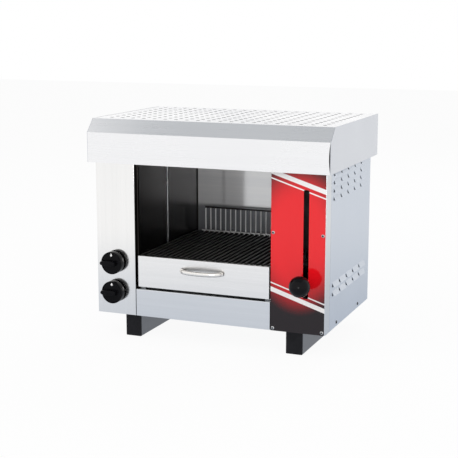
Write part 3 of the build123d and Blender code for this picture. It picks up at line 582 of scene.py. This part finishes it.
for depth in (inlet_low.y, collar_start):
    ring = []
    for corner in range(6):
        angle = math.pi / 2 + corner * math.pi / 3
        across = inlet_axis[0] + hexagon_radius * math.cos(angle)
        up = inlet_axis[2] + hexagon_radius * math.sin(angle)
        ring.append(inlet_shape.verts.new((across, depth, up)))
    hexagon_rings.append(ring)
close_rings(inlet_shape, hexagon_rings)
inlet_mesh = smooth(to_mesh(inlet_shape, "gas_inlet_fitting", brass))
show("gas_inlet_fitting", inlet_mesh, "chassis", "fitting_brass", "gas_inlet")


def swept(tree, path, section):
    """A section swept along a path, with its ends capped."""
    return new_node(tree, "GeometryNodeCurveToMesh", {
        "Curve": path,
        "Profile Curve": section,
        "Fill Caps": True,
    }).outputs["Mesh"]


def thread_tree():
    """A six-sided ridge swept along a helix that stands on the plane of its start."""
    tree, given = open_tree("cut thread", {
        "Turns": "Float",
        "Root Radius": "Float",
        "Length": "Float",
        "Ridge": "Float",
    })
    helix = new_node(tree, "GeometryNodeCurveSpiral", {
        "Resolution": 48,
        "Rotations": given["Turns"],
        "Start Radius": given["Root Radius"],
        "End Radius": given["Root Radius"],
        "Height": given["Length"],
    })
    ridge = new_node(tree, "GeometryNodeCurvePrimitiveCircle", {"Resolution": 6, "Radius": given["Ridge"]})
    return close_tree(tree, swept(tree, helix.outputs["Curve"], ridge.outputs["Curve"]), given["Material"])


thread_length = nipple_length - 3 * thread_depth
ridge_seat = 0.2 * thread_depth
ridge_radius = 0.78 * thread_depth
thread_mesh = grown("gas_inlet_thread", bpy.data.meshes.new("thread seed"), thread_tree(), {
    "Turns": thread_length / thread_pitch,
    "Root Radius": root_radius + ridge_seat,
    "Length": thread_length,
    "Ridge": ridge_radius,
    "Material": brass,
})
for vertex in thread_mesh.vertices:
    across, deep, up = vertex.co
    vertex.co = (inlet_axis[0] + across, nipple_start + thread_depth + up, inlet_axis[2] - deep)
show("gas_inlet_thread", smooth(thread_mesh), "chassis", "fitting_brass")

# Lift: chromed guide rods behind slots in the cavity walls carry two slider blocks with bronze bushes.
# A cross bar and a rod lead from the right slider through the slot in the front to the ball knob.
chrome = plated_metal("bright chrome", (0.95, 0.95, 0.96), 0.33)
carriage_steel = brushed_steel("carriage steel", (0.3, 0.3, 0.3), "X", 0.35, 0.08)
coat(chrome, "guide_rods", "lever_rod")
coat(brass, "slider_bushes")
coat(carriage_steel, "carrier_frame", "left_slider", "right_slider", "lever_bar")


# Grill grid: cast iron bars from front to back, tapered like a mould needs, between two end bars.
# It lies on the carrier frame and is blackened by use.
def cast_iron(worn_level):
    """Seasoned cast iron: near black, with a sandy skin and worn, shinier tops above a level."""
    material, tree, shader = new_finish("seasoned iron", 0.0, 0.42)
    shader.inputs["Specular IOR Level"].default_value = 0.3
    sand = speckle(tree, 900.0, 3.0)
    sand_height = 0.00012
    stains = speckle(tree, 28.0, 4.0)
    worn = tint(tree, stains, (0.014, 0.013, 0.012), (0.034, 0.031, 0.03))
    flank = worked_out(tree, "LESS_THAN", place_parts(tree)["Z"], worn_level)
    blackened = laid_over(tree, worn, (0.002, 0.002, 0.002, 1.0), flank)
    feed(tree, shader, blackened, spread(tree, stains, 0.3, 0.52), relief(tree, sand, sand_height))
    return material


def rounded(tree, curve, radius, steps):
    """A curve with its corners rounded in a few steps."""
    return new_node(tree, "GeometryNodeFilletCurve", {
        "Curve": curve,
        "Radius": radius,
        "Count": steps,
        "Limit Radius": True,
    }, mode="POLY").outputs["Curve"]


def in_a_row(tree, given, shape, first):
    """A shape repeated along X from a first place, by the tree's count and pitch."""
    step = new_node(tree, "ShaderNodeCombineXYZ", {"X": given["Pitch"]})
    row = new_node(tree, "GeometryNodeMeshLine", {
        "Count": given["Count"],
        "Start Location": first,
        "Offset": step.outputs["Vector"],
    })
    return set_on_points(tree, row.outputs["Mesh"], shape)


def bar_tree():
    """Tapered bars along Y, repeated along X, from the sizes of one bar."""
    tree, given = open_tree("grid bars", {
        "Count": "Int",
        "Pitch": "Float",
        "First": "Vector",
        "Length": "Float",
        "Height": "Float",
        "Foot Width": "Float",
        "Top Width": "Float",
        "Corner": "Float",
    })
    outline = new_node(tree, "GeometryNodeCurvePrimitiveQuadrilateral", {
        "Height": given["Height"],
        "Bottom Width": given["Foot Width"],
        "Top Width": given["Top Width"],
        "Offset": 0.0,
    }, mode="TRAPEZOID")
    corner_steps = 3
    section = rounded(tree, outline.outputs["Curve"], given["Corner"], corner_steps)
    reach = new_node(tree, "ShaderNodeCombineXYZ", {"Y": given["Length"]})
    path = new_node(tree, "GeometryNodeCurvePrimitiveLine", {"End": reach.outputs["Vector"]})
    bar = swept(tree, path.outputs["Curve"], section)
    return close_tree(tree, in_a_row(tree, given, bar, given["First"]), given["Material"])


def add_block(shape, low, high, bevel):
    """Adds a block with softened edges to a bmesh."""
    corners = bmesh.ops.create_cube(shape, size=1.0)["verts"]
    for corner in corners:
        for axis in range(3):
            corner.co[axis] = (low[axis] + high[axis]) / 2 + corner.co[axis] * (high[axis] - low[axis])
    edges = list({edge for corner in corners for edge in corner.link_edges})
    bmesh.ops.bevel(shape, geom=edges, offset=bevel, segments=3, profile=0.5, affect="EDGES")


grid_low, grid_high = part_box("grill_grid")
worn_depth = 0.0012
iron = cast_iron(grid_high.z - worn_depth)
bar_pitch = 0.0139
bar_foot = 0.007
bar_height = grid_high.z - grid_low.z
bars = grown("grill_bars", bpy.data.meshes.new("grid seed"), bar_tree(), {
    "Count": int(round((grid_high.x - grid_low.x - bar_foot) / bar_pitch)) + 1,
    "Pitch": bar_pitch,
    "First": (grid_low.x + bar_foot / 2, grid_low.y, grid_low.z + bar_height / 2),
    "Length": grid_high.y - grid_low.y,
    "Height": bar_height,
    "Foot Width": bar_foot,
    "Top Width": 0.0052,
    "Corner": 0.001,
    "Material": iron,
})
grid_shape = bmesh.new()
grid_shape.from_mesh(bars)
end_bar_depth = 0.008
end_bar_height = 0.005
end_bar_edge = 0.0008
for depth in (grid_low.y, grid_high.y - end_bar_depth):
    first = (grid_low.x + bar_foot / 2, depth, grid_low.z)
    last = (grid_high.x - bar_foot / 2, depth + end_bar_depth, grid_low.z + end_bar_height)
    add_block(grid_shape, first, last, end_bar_edge)
grid_mesh = smooth(to_mesh(grid_shape, "grill_grid_bars", iron))
show("grill_grid_bars", grid_mesh, "carriage", "grid_iron", "grill_grid")


# Rear fence: chromed wires that stand along the back of the grid and keep food off the back wall.
# Each wire bends forward at its foot, and two level wires are welded across them.
def wire_tree():
    """A bent wire from a seed path, repeated along X."""
    tree, given = open_tree("fence wires", {
        "Count": "Int",
        "Pitch": "Float",
        "Wire Diameter": "Float",
        "Bend Radius": "Float",
    })
    path = new_node(tree, "GeometryNodeMeshToCurve", {"Mesh": given["Geometry"]})
    bend_steps = 6
    bent = rounded(tree, path.outputs["Curve"], given["Bend Radius"], bend_steps)
    section = new_node(tree, "GeometryNodeCurvePrimitiveCircle", {
        "Resolution": 16,
        "Radius": worked_out(tree, "MULTIPLY", given["Wire Diameter"], 0.5),
    })
    wire = swept(tree, bent, section.outputs["Curve"])
    return close_tree(tree, in_a_row(tree, given, wire, (0.0, 0.0, 0.0)), given["Material"])


fence_plate = plated_metal("worn plating", (0.97, 0.97, 0.97), 0.43)
fence_tree = wire_tree()


def fence_wires_along(points, diameter, bend, count, pitch):
    """Wires that follow a path of points, repeated along X."""
    path = bpy.data.meshes.new("wire path")
    path.from_pydata(points, [(index, index + 1) for index in range(len(points) - 1)], [])
    return grown("fence_wires", path, fence_tree, {
        "Count": count,
        "Pitch": pitch,
        "Wire Diameter": diameter,
        "Bend Radius": bend,
        "Material": fence_plate,
    })


fence_low, fence_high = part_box("rear_fence")
fence_depth = (fence_low.y + fence_high.y) / 2
fence_wire = 0.0032
fence_rail = 0.004
fence_pitch = 0.0141
fence_overhang = 0.012
wire_bend = 0.004
foot_reach = 0.012
# The top level wire is painted near black as shade.
stain_within(fence_plate, painted_shade_dark, Z=(fence_high.z - fence_rail, beyond))
fence_gaps = int(round((fence_high.x - fence_low.x - 2 * fence_overhang) / fence_pitch))
first_wire = (fence_low.x + fence_high.x) / 2 - fence_gaps * fence_pitch / 2
last_wire = first_wire + fence_gaps * fence_pitch
wire_foot = grid_high.z + fence_wire / 2
top_rail = fence_high.z - fence_rail / 2
fence_shape = bmesh.new()
fence_shape.from_mesh(fence_wires_along([
    (first_wire, fence_depth - foot_reach, wire_foot),
    (first_wire, fence_depth, wire_foot),
    (first_wire, fence_depth, top_rail),
], fence_wire, wire_bend, fence_gaps + 1, fence_pitch))
for level, overhang in ((fence_low.z + fence_rail / 2, fence_overhang), (top_rail, fence_wire / 2)):
    fence_shape.from_mesh(fence_wires_along([
        (first_wire - overhang, fence_depth, level),
        (last_wire + overhang, fence_depth, level),
    ], fence_rail, 0.0, 1, 0.0))
fence_mesh = smooth(to_mesh(fence_shape, "fence_wires", fence_plate))
show("fence_wires", fence_mesh, "carriage", "bright_chrome", "rear_fence")


# Drip tray drawer: a folded stainless front with a warm level brushing, on an open tray.
# A bow handle of polished steel is screwed to it from inside, and its feet, inner side and underside are painted
# dark as shade.
def bulged(value, power):
    """A power of a value's size, with the value's own sign."""
    return math.copysign(abs(value) ** power, value)


drawer_steel = brushed_steel("drawer steel", (0.937, 0.926, 0.916), "X", 0.25, 0.035)
coat(drawer_steel, "drawer_front")
coat(plated_steel, "handle_screws")
polished_steel = plated_metal("polished handle steel", (0.98, 0.95, 0.91), 0.26)
handle_painted_shade = plated_metal("dull handle steel", (0.2, 0.19, 0.18), 0.42)
handle_low, handle_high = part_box("drawer_handle")
handle_middle = (handle_low.x + handle_high.x) / 2
handle_level = (handle_low.z + handle_high.z) / 2
handle_height = handle_high.z - handle_low.z
handle_thickness = 0.008
foot_flare = 1.25
flare_end = 1 / 3
half_span = (handle_high.x - handle_low.x - handle_thickness * foot_flare) / 2
bow_reach = handle_high.y - handle_low.y - handle_thickness / 2
bow_power = 2 / 2.25
bow_steps = 56
section_power = 0.8
handle_crease = 50.0
section_steps = 20
bow_line = []
for step in range(bow_steps + 1):
    angle = math.pi * step / bow_steps
    out_share = math.sin(angle) ** bow_power
    across = handle_middle + half_span * bulged(math.cos(angle), bow_power)
    bow_line.append((Vector((across, handle_high.y - bow_reach * out_share, handle_level)), out_share))
handle_shape = bmesh.new()
handle_rings = []
for step, (centre, out_share) in enumerate(bow_line):
    before = bow_line[max(step - 1, 0)][0]
    after = bow_line[min(step + 1, bow_steps)][0]
    along = (after - before).normalized()
    if step in (0, bow_steps):
        along = Vector((0.0, math.copysign(1.0, step - 1), 0.0))
    outward = Vector((along.y, -along.x, 0.0))
    flare = foot_flare - (foot_flare - 1.0) * min(1.0, out_share / flare_end)
    ring = []
    for corner in range(section_steps):
        turn = 2 * math.pi * corner / section_steps
        wide = bulged(math.cos(turn), section_power) * handle_thickness / 2 * flare
        tall = bulged(math.sin(turn), section_power) * handle_height / 2
        ring.append(handle_shape.verts.new(centre + outward * wide + Vector((0.0, 0.0, tall))))
    handle_rings.append(ring)
close_rings(handle_shape, handle_rings)
handle_mesh = smooth(to_mesh(handle_shape, "bow_handle", polished_steel), handle_crease)
# Faces on the feet, the inner side and the underside take a dark copy of the steel as painted shade.
handle_mesh.materials.append(handle_painted_shade)
shaded_foot_start = handle_high.y - 0.2 * bow_reach
shaded_inner_turn = 0.35
shaded_lower_turn = -0.6
for face in handle_mesh.polygons:
    inward = Vector((handle_middle - face.center.x, handle_high.y - face.center.y, 0.0)).normalized()
    inner_or_lower = face.normal.dot(inward) > shaded_inner_turn or face.normal.z < shaded_lower_turn
    if inner_or_lower or face.center.y > shaded_foot_start:
        face.material_index = 1
show("bow_handle", handle_mesh, "drawer", "bright_chrome", "drawer_handle")


# Decor panel: a thin sheet screwed on the right column, printed red under a gloss lacquer.
# Plain white slanting stripes cross it at the top and the bottom, and its corners shade to black.
def decor_print(low, high):
    """Red print with slanting stripes and dark corners, under clear lacquer."""
    red = (0.8, 0.006, 0.012, 1.0)
    shade = (0.008, 0.003, 0.004, 1.0)
    white = (0.86, 0.84, 0.84, 1.0)
    half_width, half_height = 0.085, 0.125
    shade_start, shade_end = 0.42, 2.15
    stripe_slope, stripe_edge = 0.32, 0.0005
    stripes = ((-0.142, 0.011), (-0.127, 0.003), (0.128, 0.011), (0.113, 0.003))
    lacquer_wave = 0.00004
    material, tree, shader = new_finish("decor print", 0.0, 0.07)
    place = place_parts(tree)
    across = worked_out(tree, "SUBTRACT", place["X"], (low.x + high.x) / 2)
    up = worked_out(tree, "SUBTRACT", place["Z"], (low.z + high.z) / 2)
    wide = worked_out(tree, "POWER", worked_out(tree, "DIVIDE", across, half_width), 2.0)
    tall = worked_out(tree, "POWER", worked_out(tree, "DIVIDE", up, half_height), 2.0)
    from_middle = worked_out(tree, "ADD", wide, tall)
    colour = laid_over(tree, red, shade, eased(tree, from_middle, shade_start, shade_end))
    slant = worked_out(tree, "ADD", worked_out(tree, "MULTIPLY", across, stripe_slope), up)
    for level, width in stripes:
        away = worked_out(tree, "ABSOLUTE", worked_out(tree, "SUBTRACT", slant, level))
        stripe = eased(tree, away, width / 2 + stripe_edge, width / 2 - stripe_edge)
        colour = laid_over(tree, colour, white, stripe)
    feed(tree, shader, colour, normal=relief(tree, speckle(tree, 35.0), lacquer_wave))
    return material


decor_low, decor_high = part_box("decor_panel")
coat(decor_print(decor_low, decor_high), "decor_panel")
head_low, head_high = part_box("decor_screws")
head_reach = screw_head_width / 2
halfway_up = 0.229
decor_places = []
for across in (head_low.x + head_reach, head_high.x - head_reach):
    for level in (head_low.z + head_reach, decor_low.z + halfway_up, head_high.z - head_reach):
        decor_places.append((across, decor_low.y, level))
decor_directions = [(0.0, -1.0, 0.0)] * len(decor_places)
decor_heads = screw_set("decor_screw_heads", decor_places, decor_directions, plated_steel)
show("decor_screw_heads", decor_heads, "chassis", "fastener_steel", "decor_screws")

# Ball knob: a glossy black thermoset ball on the end of the lift lever.
# It is moulded with a small flat round the rod, and bored to take it.
ball_black = moulded_plastic("ball plastic", (0.004, 0.004, 0.005), 0.1, 0.12, 0.000004)
ball_low, ball_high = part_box("ball_knob")
ball_radius = (ball_high.x - ball_low.x) / 2
ball_centre = ((ball_low.x + ball_high.x) / 2, ball_low.y + ball_radius, (ball_low.z + ball_high.z) / 2)
rod_radius = 0.00405
neck_radius = 0.0085
ball_bore = 0.016
ball_steps = 40
ball_turn_steps = 80
ball_profile = []
for step in range(ball_steps + 1):
    angle = (math.pi - math.asin(neck_radius / ball_radius)) * step / ball_steps
    ball_profile.append((ball_radius * math.sin(angle), -ball_radius * math.cos(angle)))
neck_depth = ball_profile[-1][1]
bore_end = ball_radius - ball_bore
ball_profile += [(rod_radius, neck_depth), (rod_radius, bore_end), (0.0, bore_end)]
ball_mesh = smooth(to_mesh(lathe(ball_profile, ball_centre, ball_turn_steps, True), "lever_ball", ball_black))
show("lever_ball", ball_mesh, "carriage", "knob_plastic", "ball_knob")

# Gas knobs: two black thermoset knobs on the valve spindles, each a thick disc with a bar grip.
# The grip overhangs the rim as a pointer, and a white drop on the disc marks the off position.
mark_white, mark_tree, mark_shader = new_finish("mark paint", 0.0, 0.4)
mark_wear = speckle(mark_tree, 300.0, 3.0)
feed(mark_tree, mark_shader, tint(mark_tree, mark_wear, (0.78, 0.78, 0.78), (0.9, 0.9, 0.9)))
knob_black = moulded_plastic("knob plastic", (0.004, 0.004, 0.005), 0.2, 0.08, 0.000004)
disc_radius = 0.0272
disc_depth = 0.0155
dish_depth = 0.0012
rim_width = 0.0022
edge_radius = 0.0012
edge_steps = 4
disc_steps = 96
spindle_radius = 0.004
grip_half_height = 0.007
grip_tip_reach = 0.0285
grip_heel_reach = 0.0145
grip_end_power = 0.45
grip_side_power = 0.7
grip_draft = 0.82
grip_edge = 0.0014
grip_points = 64
mark_height = 0.0074
mark_half_width = 0.00325
mark_offset = 0.02
mark_thickness = 0.0003
mark_points = 40


def knob_disc(origin, depth):
    """Thick disc with rounded rims, a narrow raised border and a shallow dish on its face."""
    profile = [(spindle_radius, 0.0), (disc_radius - edge_radius, 0.0)]
    for step in range(1, edge_steps + 1):
        angle = math.pi / 2 * step / edge_steps
        radius = disc_radius - edge_radius + edge_radius * math.sin(angle)
        profile.append((radius, -edge_radius + edge_radius * math.cos(angle)))
    for step in range(edge_steps + 1):
        angle = math.pi / 2 * step / edge_steps
        radius = disc_radius - edge_radius + edge_radius * math.cos(angle)
        profile.append((radius, -disc_depth + edge_radius - edge_radius * math.sin(angle)))
    profile.append((disc_radius - rim_width, -disc_depth))
    profile.append((disc_radius - rim_width - dish_depth, -disc_depth + dish_depth))
    profile.append((0.0, -disc_depth + dish_depth))
    profile.append((0.0, -depth))
    profile.append((spindle_radius, -depth))
    return lathe(profile, origin, disc_steps, False)


def grip_outline():
    """Bar seen from the front: a long pointed side to the left and a blunt heel to the right."""
    points = []
    for step in range(grip_points):
        angle = 2 * math.pi * step / grip_points
        across, up = math.cos(angle), math.sin(angle)
        reach = grip_heel_reach if across > 0 else grip_tip_reach
        points.append((reach * bulged(across, grip_end_power), grip_half_height * bulged(up, grip_side_power)))
    return points


def knob_grip(shape, origin, front):
    """Adds the bar grip to a bmesh, drawn in towards its top, with softened edges."""
    outline = grip_outline()
    levels = [(-disc_depth / 2, 1.0), (-disc_depth, 1.0)]
    for step in range(edge_steps + 1):
        angle = math.pi / 2 * step / edge_steps
        inset = grip_edge * (1.0 - math.cos(angle))
        levels.append((front + grip_edge - grip_edge * math.sin(angle), grip_draft - inset / grip_half_height))
    rings = []
    for depth, share in levels:
        tip_share = 1.0 - (1.0 - share) * grip_half_height / grip_tip_reach * 2.0
        ring = []
        for across, up in outline:
            place = (origin[0] + across * tip_share, origin[1] + depth, origin[2] + up * share)
            ring.append(shape.verts.new(place))
        rings.append(ring)
    close_rings(shape, rings)


def mark_drop(origin):
    """White drop on the disc's face, pointed outwards."""
    shape = bmesh.new()
    rings = []
    face = origin[1] - disc_depth + dish_depth
    for depth in (face + mark_thickness, face - mark_thickness):
        ring = []
        for step in range(mark_points):
            angle = 2 * math.pi * step / mark_points
            across = mark_half_width * math.sin(angle) * abs(math.sin(angle / 2))
            up = mark_height / 2 * math.cos(angle)
            ring.append(shape.verts.new((origin[0] + across, depth, origin[2] + mark_offset + up)))
        rings.append(ring)
    close_rings(shape, rings)
    return shape


for name in ("upper", "lower"):
    knob_low, knob_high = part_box(name + "_knob")
    spindle_low, spindle_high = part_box(name + "_spindle")
    axis_across = (spindle_low.x + spindle_high.x) / 2
    axis_level = (spindle_low.z + spindle_high.z) / 2
    knob_origin = (axis_across, knob_high.y, axis_level)
    knob_shape = knob_disc(knob_origin, disc_depth / 2)
    knob_grip(knob_shape, knob_origin, knob_low.y - knob_high.y)
    knob_mesh = smooth(to_mesh(knob_shape, name + "_gas_knob", knob_black))
    show(name + "_gas_knob", knob_mesh, name + "_control", "knob_plastic", name + "_knob")
    drop_mesh = to_mesh(mark_drop(knob_origin), name + "_knob_mark", mark_white)
    show(name + "_knob_mark", drop_mesh, name + "_control", "knob_plastic")

# Hood: one folded stainless sheet for the front band, the chamfer, the vented top and the back band.
# Flat plates close its ends, and the band's right end bows away from its plate and leaves a slit.
hood_steel = brushed_steel("hood steel", (0.933, 0.933, 0.944), "X", 0.28, 0.025)
# The end plates are painted darker and cooler than the front as shade.
shaded_hood_end_steel = brushed_steel("hood end steel", (0.66, 0.68, 0.72), "Y", 0.4, 0.02)
hood_low, hood_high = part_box("hood_shell")
vents_start = hood_low.y + 0.042
vents_end = hood_high.y - 0.012
cut_edges = (hood_high.z - 0.004, hood_high.z - 0.0001)
end_joint = (hood_low.x - 0.0006, hood_low.x + 0.0006)
cut_shade = (0.08, 0.08, 0.085, 1.0)
stain_within(hood_steel, cut_shade, Y=(vents_start, vents_end), Z=cut_edges)
stain_within(shaded_hood_end_steel, cut_shade, X=end_joint, Z=cut_edges)
coat(hood_steel, "hood_shell")
coat(shaded_hood_end_steel, "hood_left_end", "hood_right_end")


# Studio floor: a plain white sheet that keeps a faint shadow under the grill.
# Close to the grill it is painted cooler and darker for reflected rays only, as shade from the grill.
def seen_share(tree):
    """1 for rays from the camera, from glossy surfaces and through clear ones, otherwise 0."""
    rays = tree.nodes.new("ShaderNodeLightPath").outputs
    share = rays["Is Camera Ray"]
    for kind in ("Is Glossy Ray", "Is Transmission Ray"):
        share = worked_out(tree, "MAXIMUM", share, rays[kind])
    return share


def mixed(tree, under, over, share):
    """One shader laid over another by a share."""
    return new_node(tree, "ShaderNodeMixShader", {"Fac": share, 1: under, 2: over}).outputs["Shader"]


def bare_paint(name):
    """A material with an empty node tree."""
    paint = bpy.data.materials.new(name)
    paint.use_nodes = True
    paint.node_tree.nodes.clear()
    return paint, paint.node_tree


def studio_sheet(name, half, height, paint, facing_up):
    """A level square that belongs to the studio and not to the grill."""
    corners = [(-half, -half, height), (half, -half, height), (half, half, height), (-half, half, height)]
    mesh = bpy.data.meshes.new(name)
    mesh.from_pydata(corners if facing_up else corners[::-1], [], [(0, 1, 2, 3)])
    mesh.materials.append(paint)
    sheet = bpy.data.objects.new(name, mesh)
    bpy.context.scene.collection.objects.link(sheet)
    return sheet


floor_half = 9.0
near_end, near_start = 1.7, 0.35
glow_share = 0.93
white_floor = (1.0, 1.0, 1.0, 1.0)
matt_white = (0.9, 0.9, 0.9, 1.0)
cool_shade = (0.64, 0.68, 0.74, 1.0)
floor_paint, floor_tree = bare_paint("floor paint")
floor_place = place_parts(floor_tree)
ahead = worked_out(floor_tree, "POWER", floor_place["Y"], 2.0)
aside = worked_out(floor_tree, "POWER", floor_place["X"], 2.0)
away = worked_out(floor_tree, "POWER", worked_out(floor_tree, "ADD", ahead, aside), 0.5)
glossy_rays = floor_tree.nodes.new("ShaderNodeLightPath").outputs["Is Glossy Ray"]
mirrored = worked_out(floor_tree, "MULTIPLY", eased(floor_tree, away, near_end, near_start), glossy_rays)
matt = new_node(floor_tree, "ShaderNodeBsdfDiffuse", {"Color": matt_white})
glow = new_node(floor_tree, "ShaderNodeEmission", {
    "Color": laid_over(floor_tree, white_floor, cool_shade, mirrored),
})
lighten = worked_out(floor_tree, "MULTIPLY", seen_share(floor_tree), glow_share)
new_node(floor_tree, "ShaderNodeOutputMaterial", {
    "Surface": mixed(floor_tree, matt.outputs["BSDF"], glow.outputs["Emission"], lighten),
})
studio_sheet("studio_floor", floor_half, 0.0, floor_paint, True)

# Surround and ceiling card: an even white surround, and a grey card over the grill.
# The card is seen only in reflections, and gives the hood's chamfer its tone.
fill_strength = 0.62
seen_strength = 1.0
surround_white = (1.0, 1.0, 1.0, 1.0)
world = bpy.data.worlds.new("studio surround")
bpy.context.scene.world = world
world.use_nodes = True
sky = world.node_tree
sky.nodes.clear()
fill, seen = (
    new_node(sky, "ShaderNodeBackground", {"Color": surround_white, "Strength": strength}).outputs["Background"]
    for strength in (fill_strength, seen_strength)
)
new_node(sky, "ShaderNodeOutputWorld", {"Surface": mixed(sky, fill, seen, seen_share(sky))})
ceiling_half = 1.3
ceiling_height = 2.3
card_grey = (0.5, 0.52, 0.54, 1.0)
card_paint, card_tree = bare_paint("card paint")
card_glow = new_node(card_tree, "ShaderNodeEmission", {"Color": card_grey})
new_node(card_tree, "ShaderNodeOutputMaterial", {"Surface": card_glow.outputs["Emission"]})
ceiling = studio_sheet("ceiling_card", ceiling_half, ceiling_height, card_paint, False)
ceiling.visible_camera = False
ceiling.visible_diffuse = False
ceiling.visible_shadow = False
ceiling.visible_transmission = False

# Lamps: four soft square lamps that all point at the middle of the grill.
# Only the small low one shows in glossy surfaces, as a glint on the handle.
aim = Vector((0.0, 0.0, 0.26))
for name, place, size, power, glossy in (
    ("key lamp", (-1.5, -2.3, 2.4), 2.6, 34.0, False),
    ("low front lamp", (0.55, -2.3, 0.32), 0.5, 4.6, True),
    ("fill lamp", (2.4, -1.6, 1.6), 1.8, 14.0, False),
    ("back lamp", (0.3, 2.6, 2.4), 1.8, 20.0, False),
):
    lamp = bpy.data.lights.new(name, "AREA")
    lamp.shape = "SQUARE"
    lamp.size = size
    lamp.energy = power
    holder = bpy.data.objects.new(name, lamp)
    holder.location = place
    holder.rotation_euler = (aim - Vector(place)).to_track_quat("-Z", "Y").to_euler()
    holder.visible_glossy = glossy
    bpy.context.scene.collection.objects.link(holder)

# Camera: stands to the right of the grill and a little above it, and looks slightly down.
# A long lens keeps the grill's edges nearly parallel.
camera_place = (1.0021, -2.4993, 0.7748)
looks_down = 10.886
turned_left = 22.012
camera_data = bpy.data.cameras.new("camera")
camera_data.sensor_width = 36.0
camera_data.sensor_fit = "HORIZONTAL"
camera_data.lens = 88.25
camera = bpy.data.objects.new("camera", camera_data)
camera.location = camera_place
camera.rotation_euler = (math.radians(90.0 - looks_down), 0.0, math.radians(turned_left))
bpy.context.scene.collection.objects.link(camera)
bpy.context.scene.camera = camera
bpy.context.scene.view_settings.view_transform = "Standard"
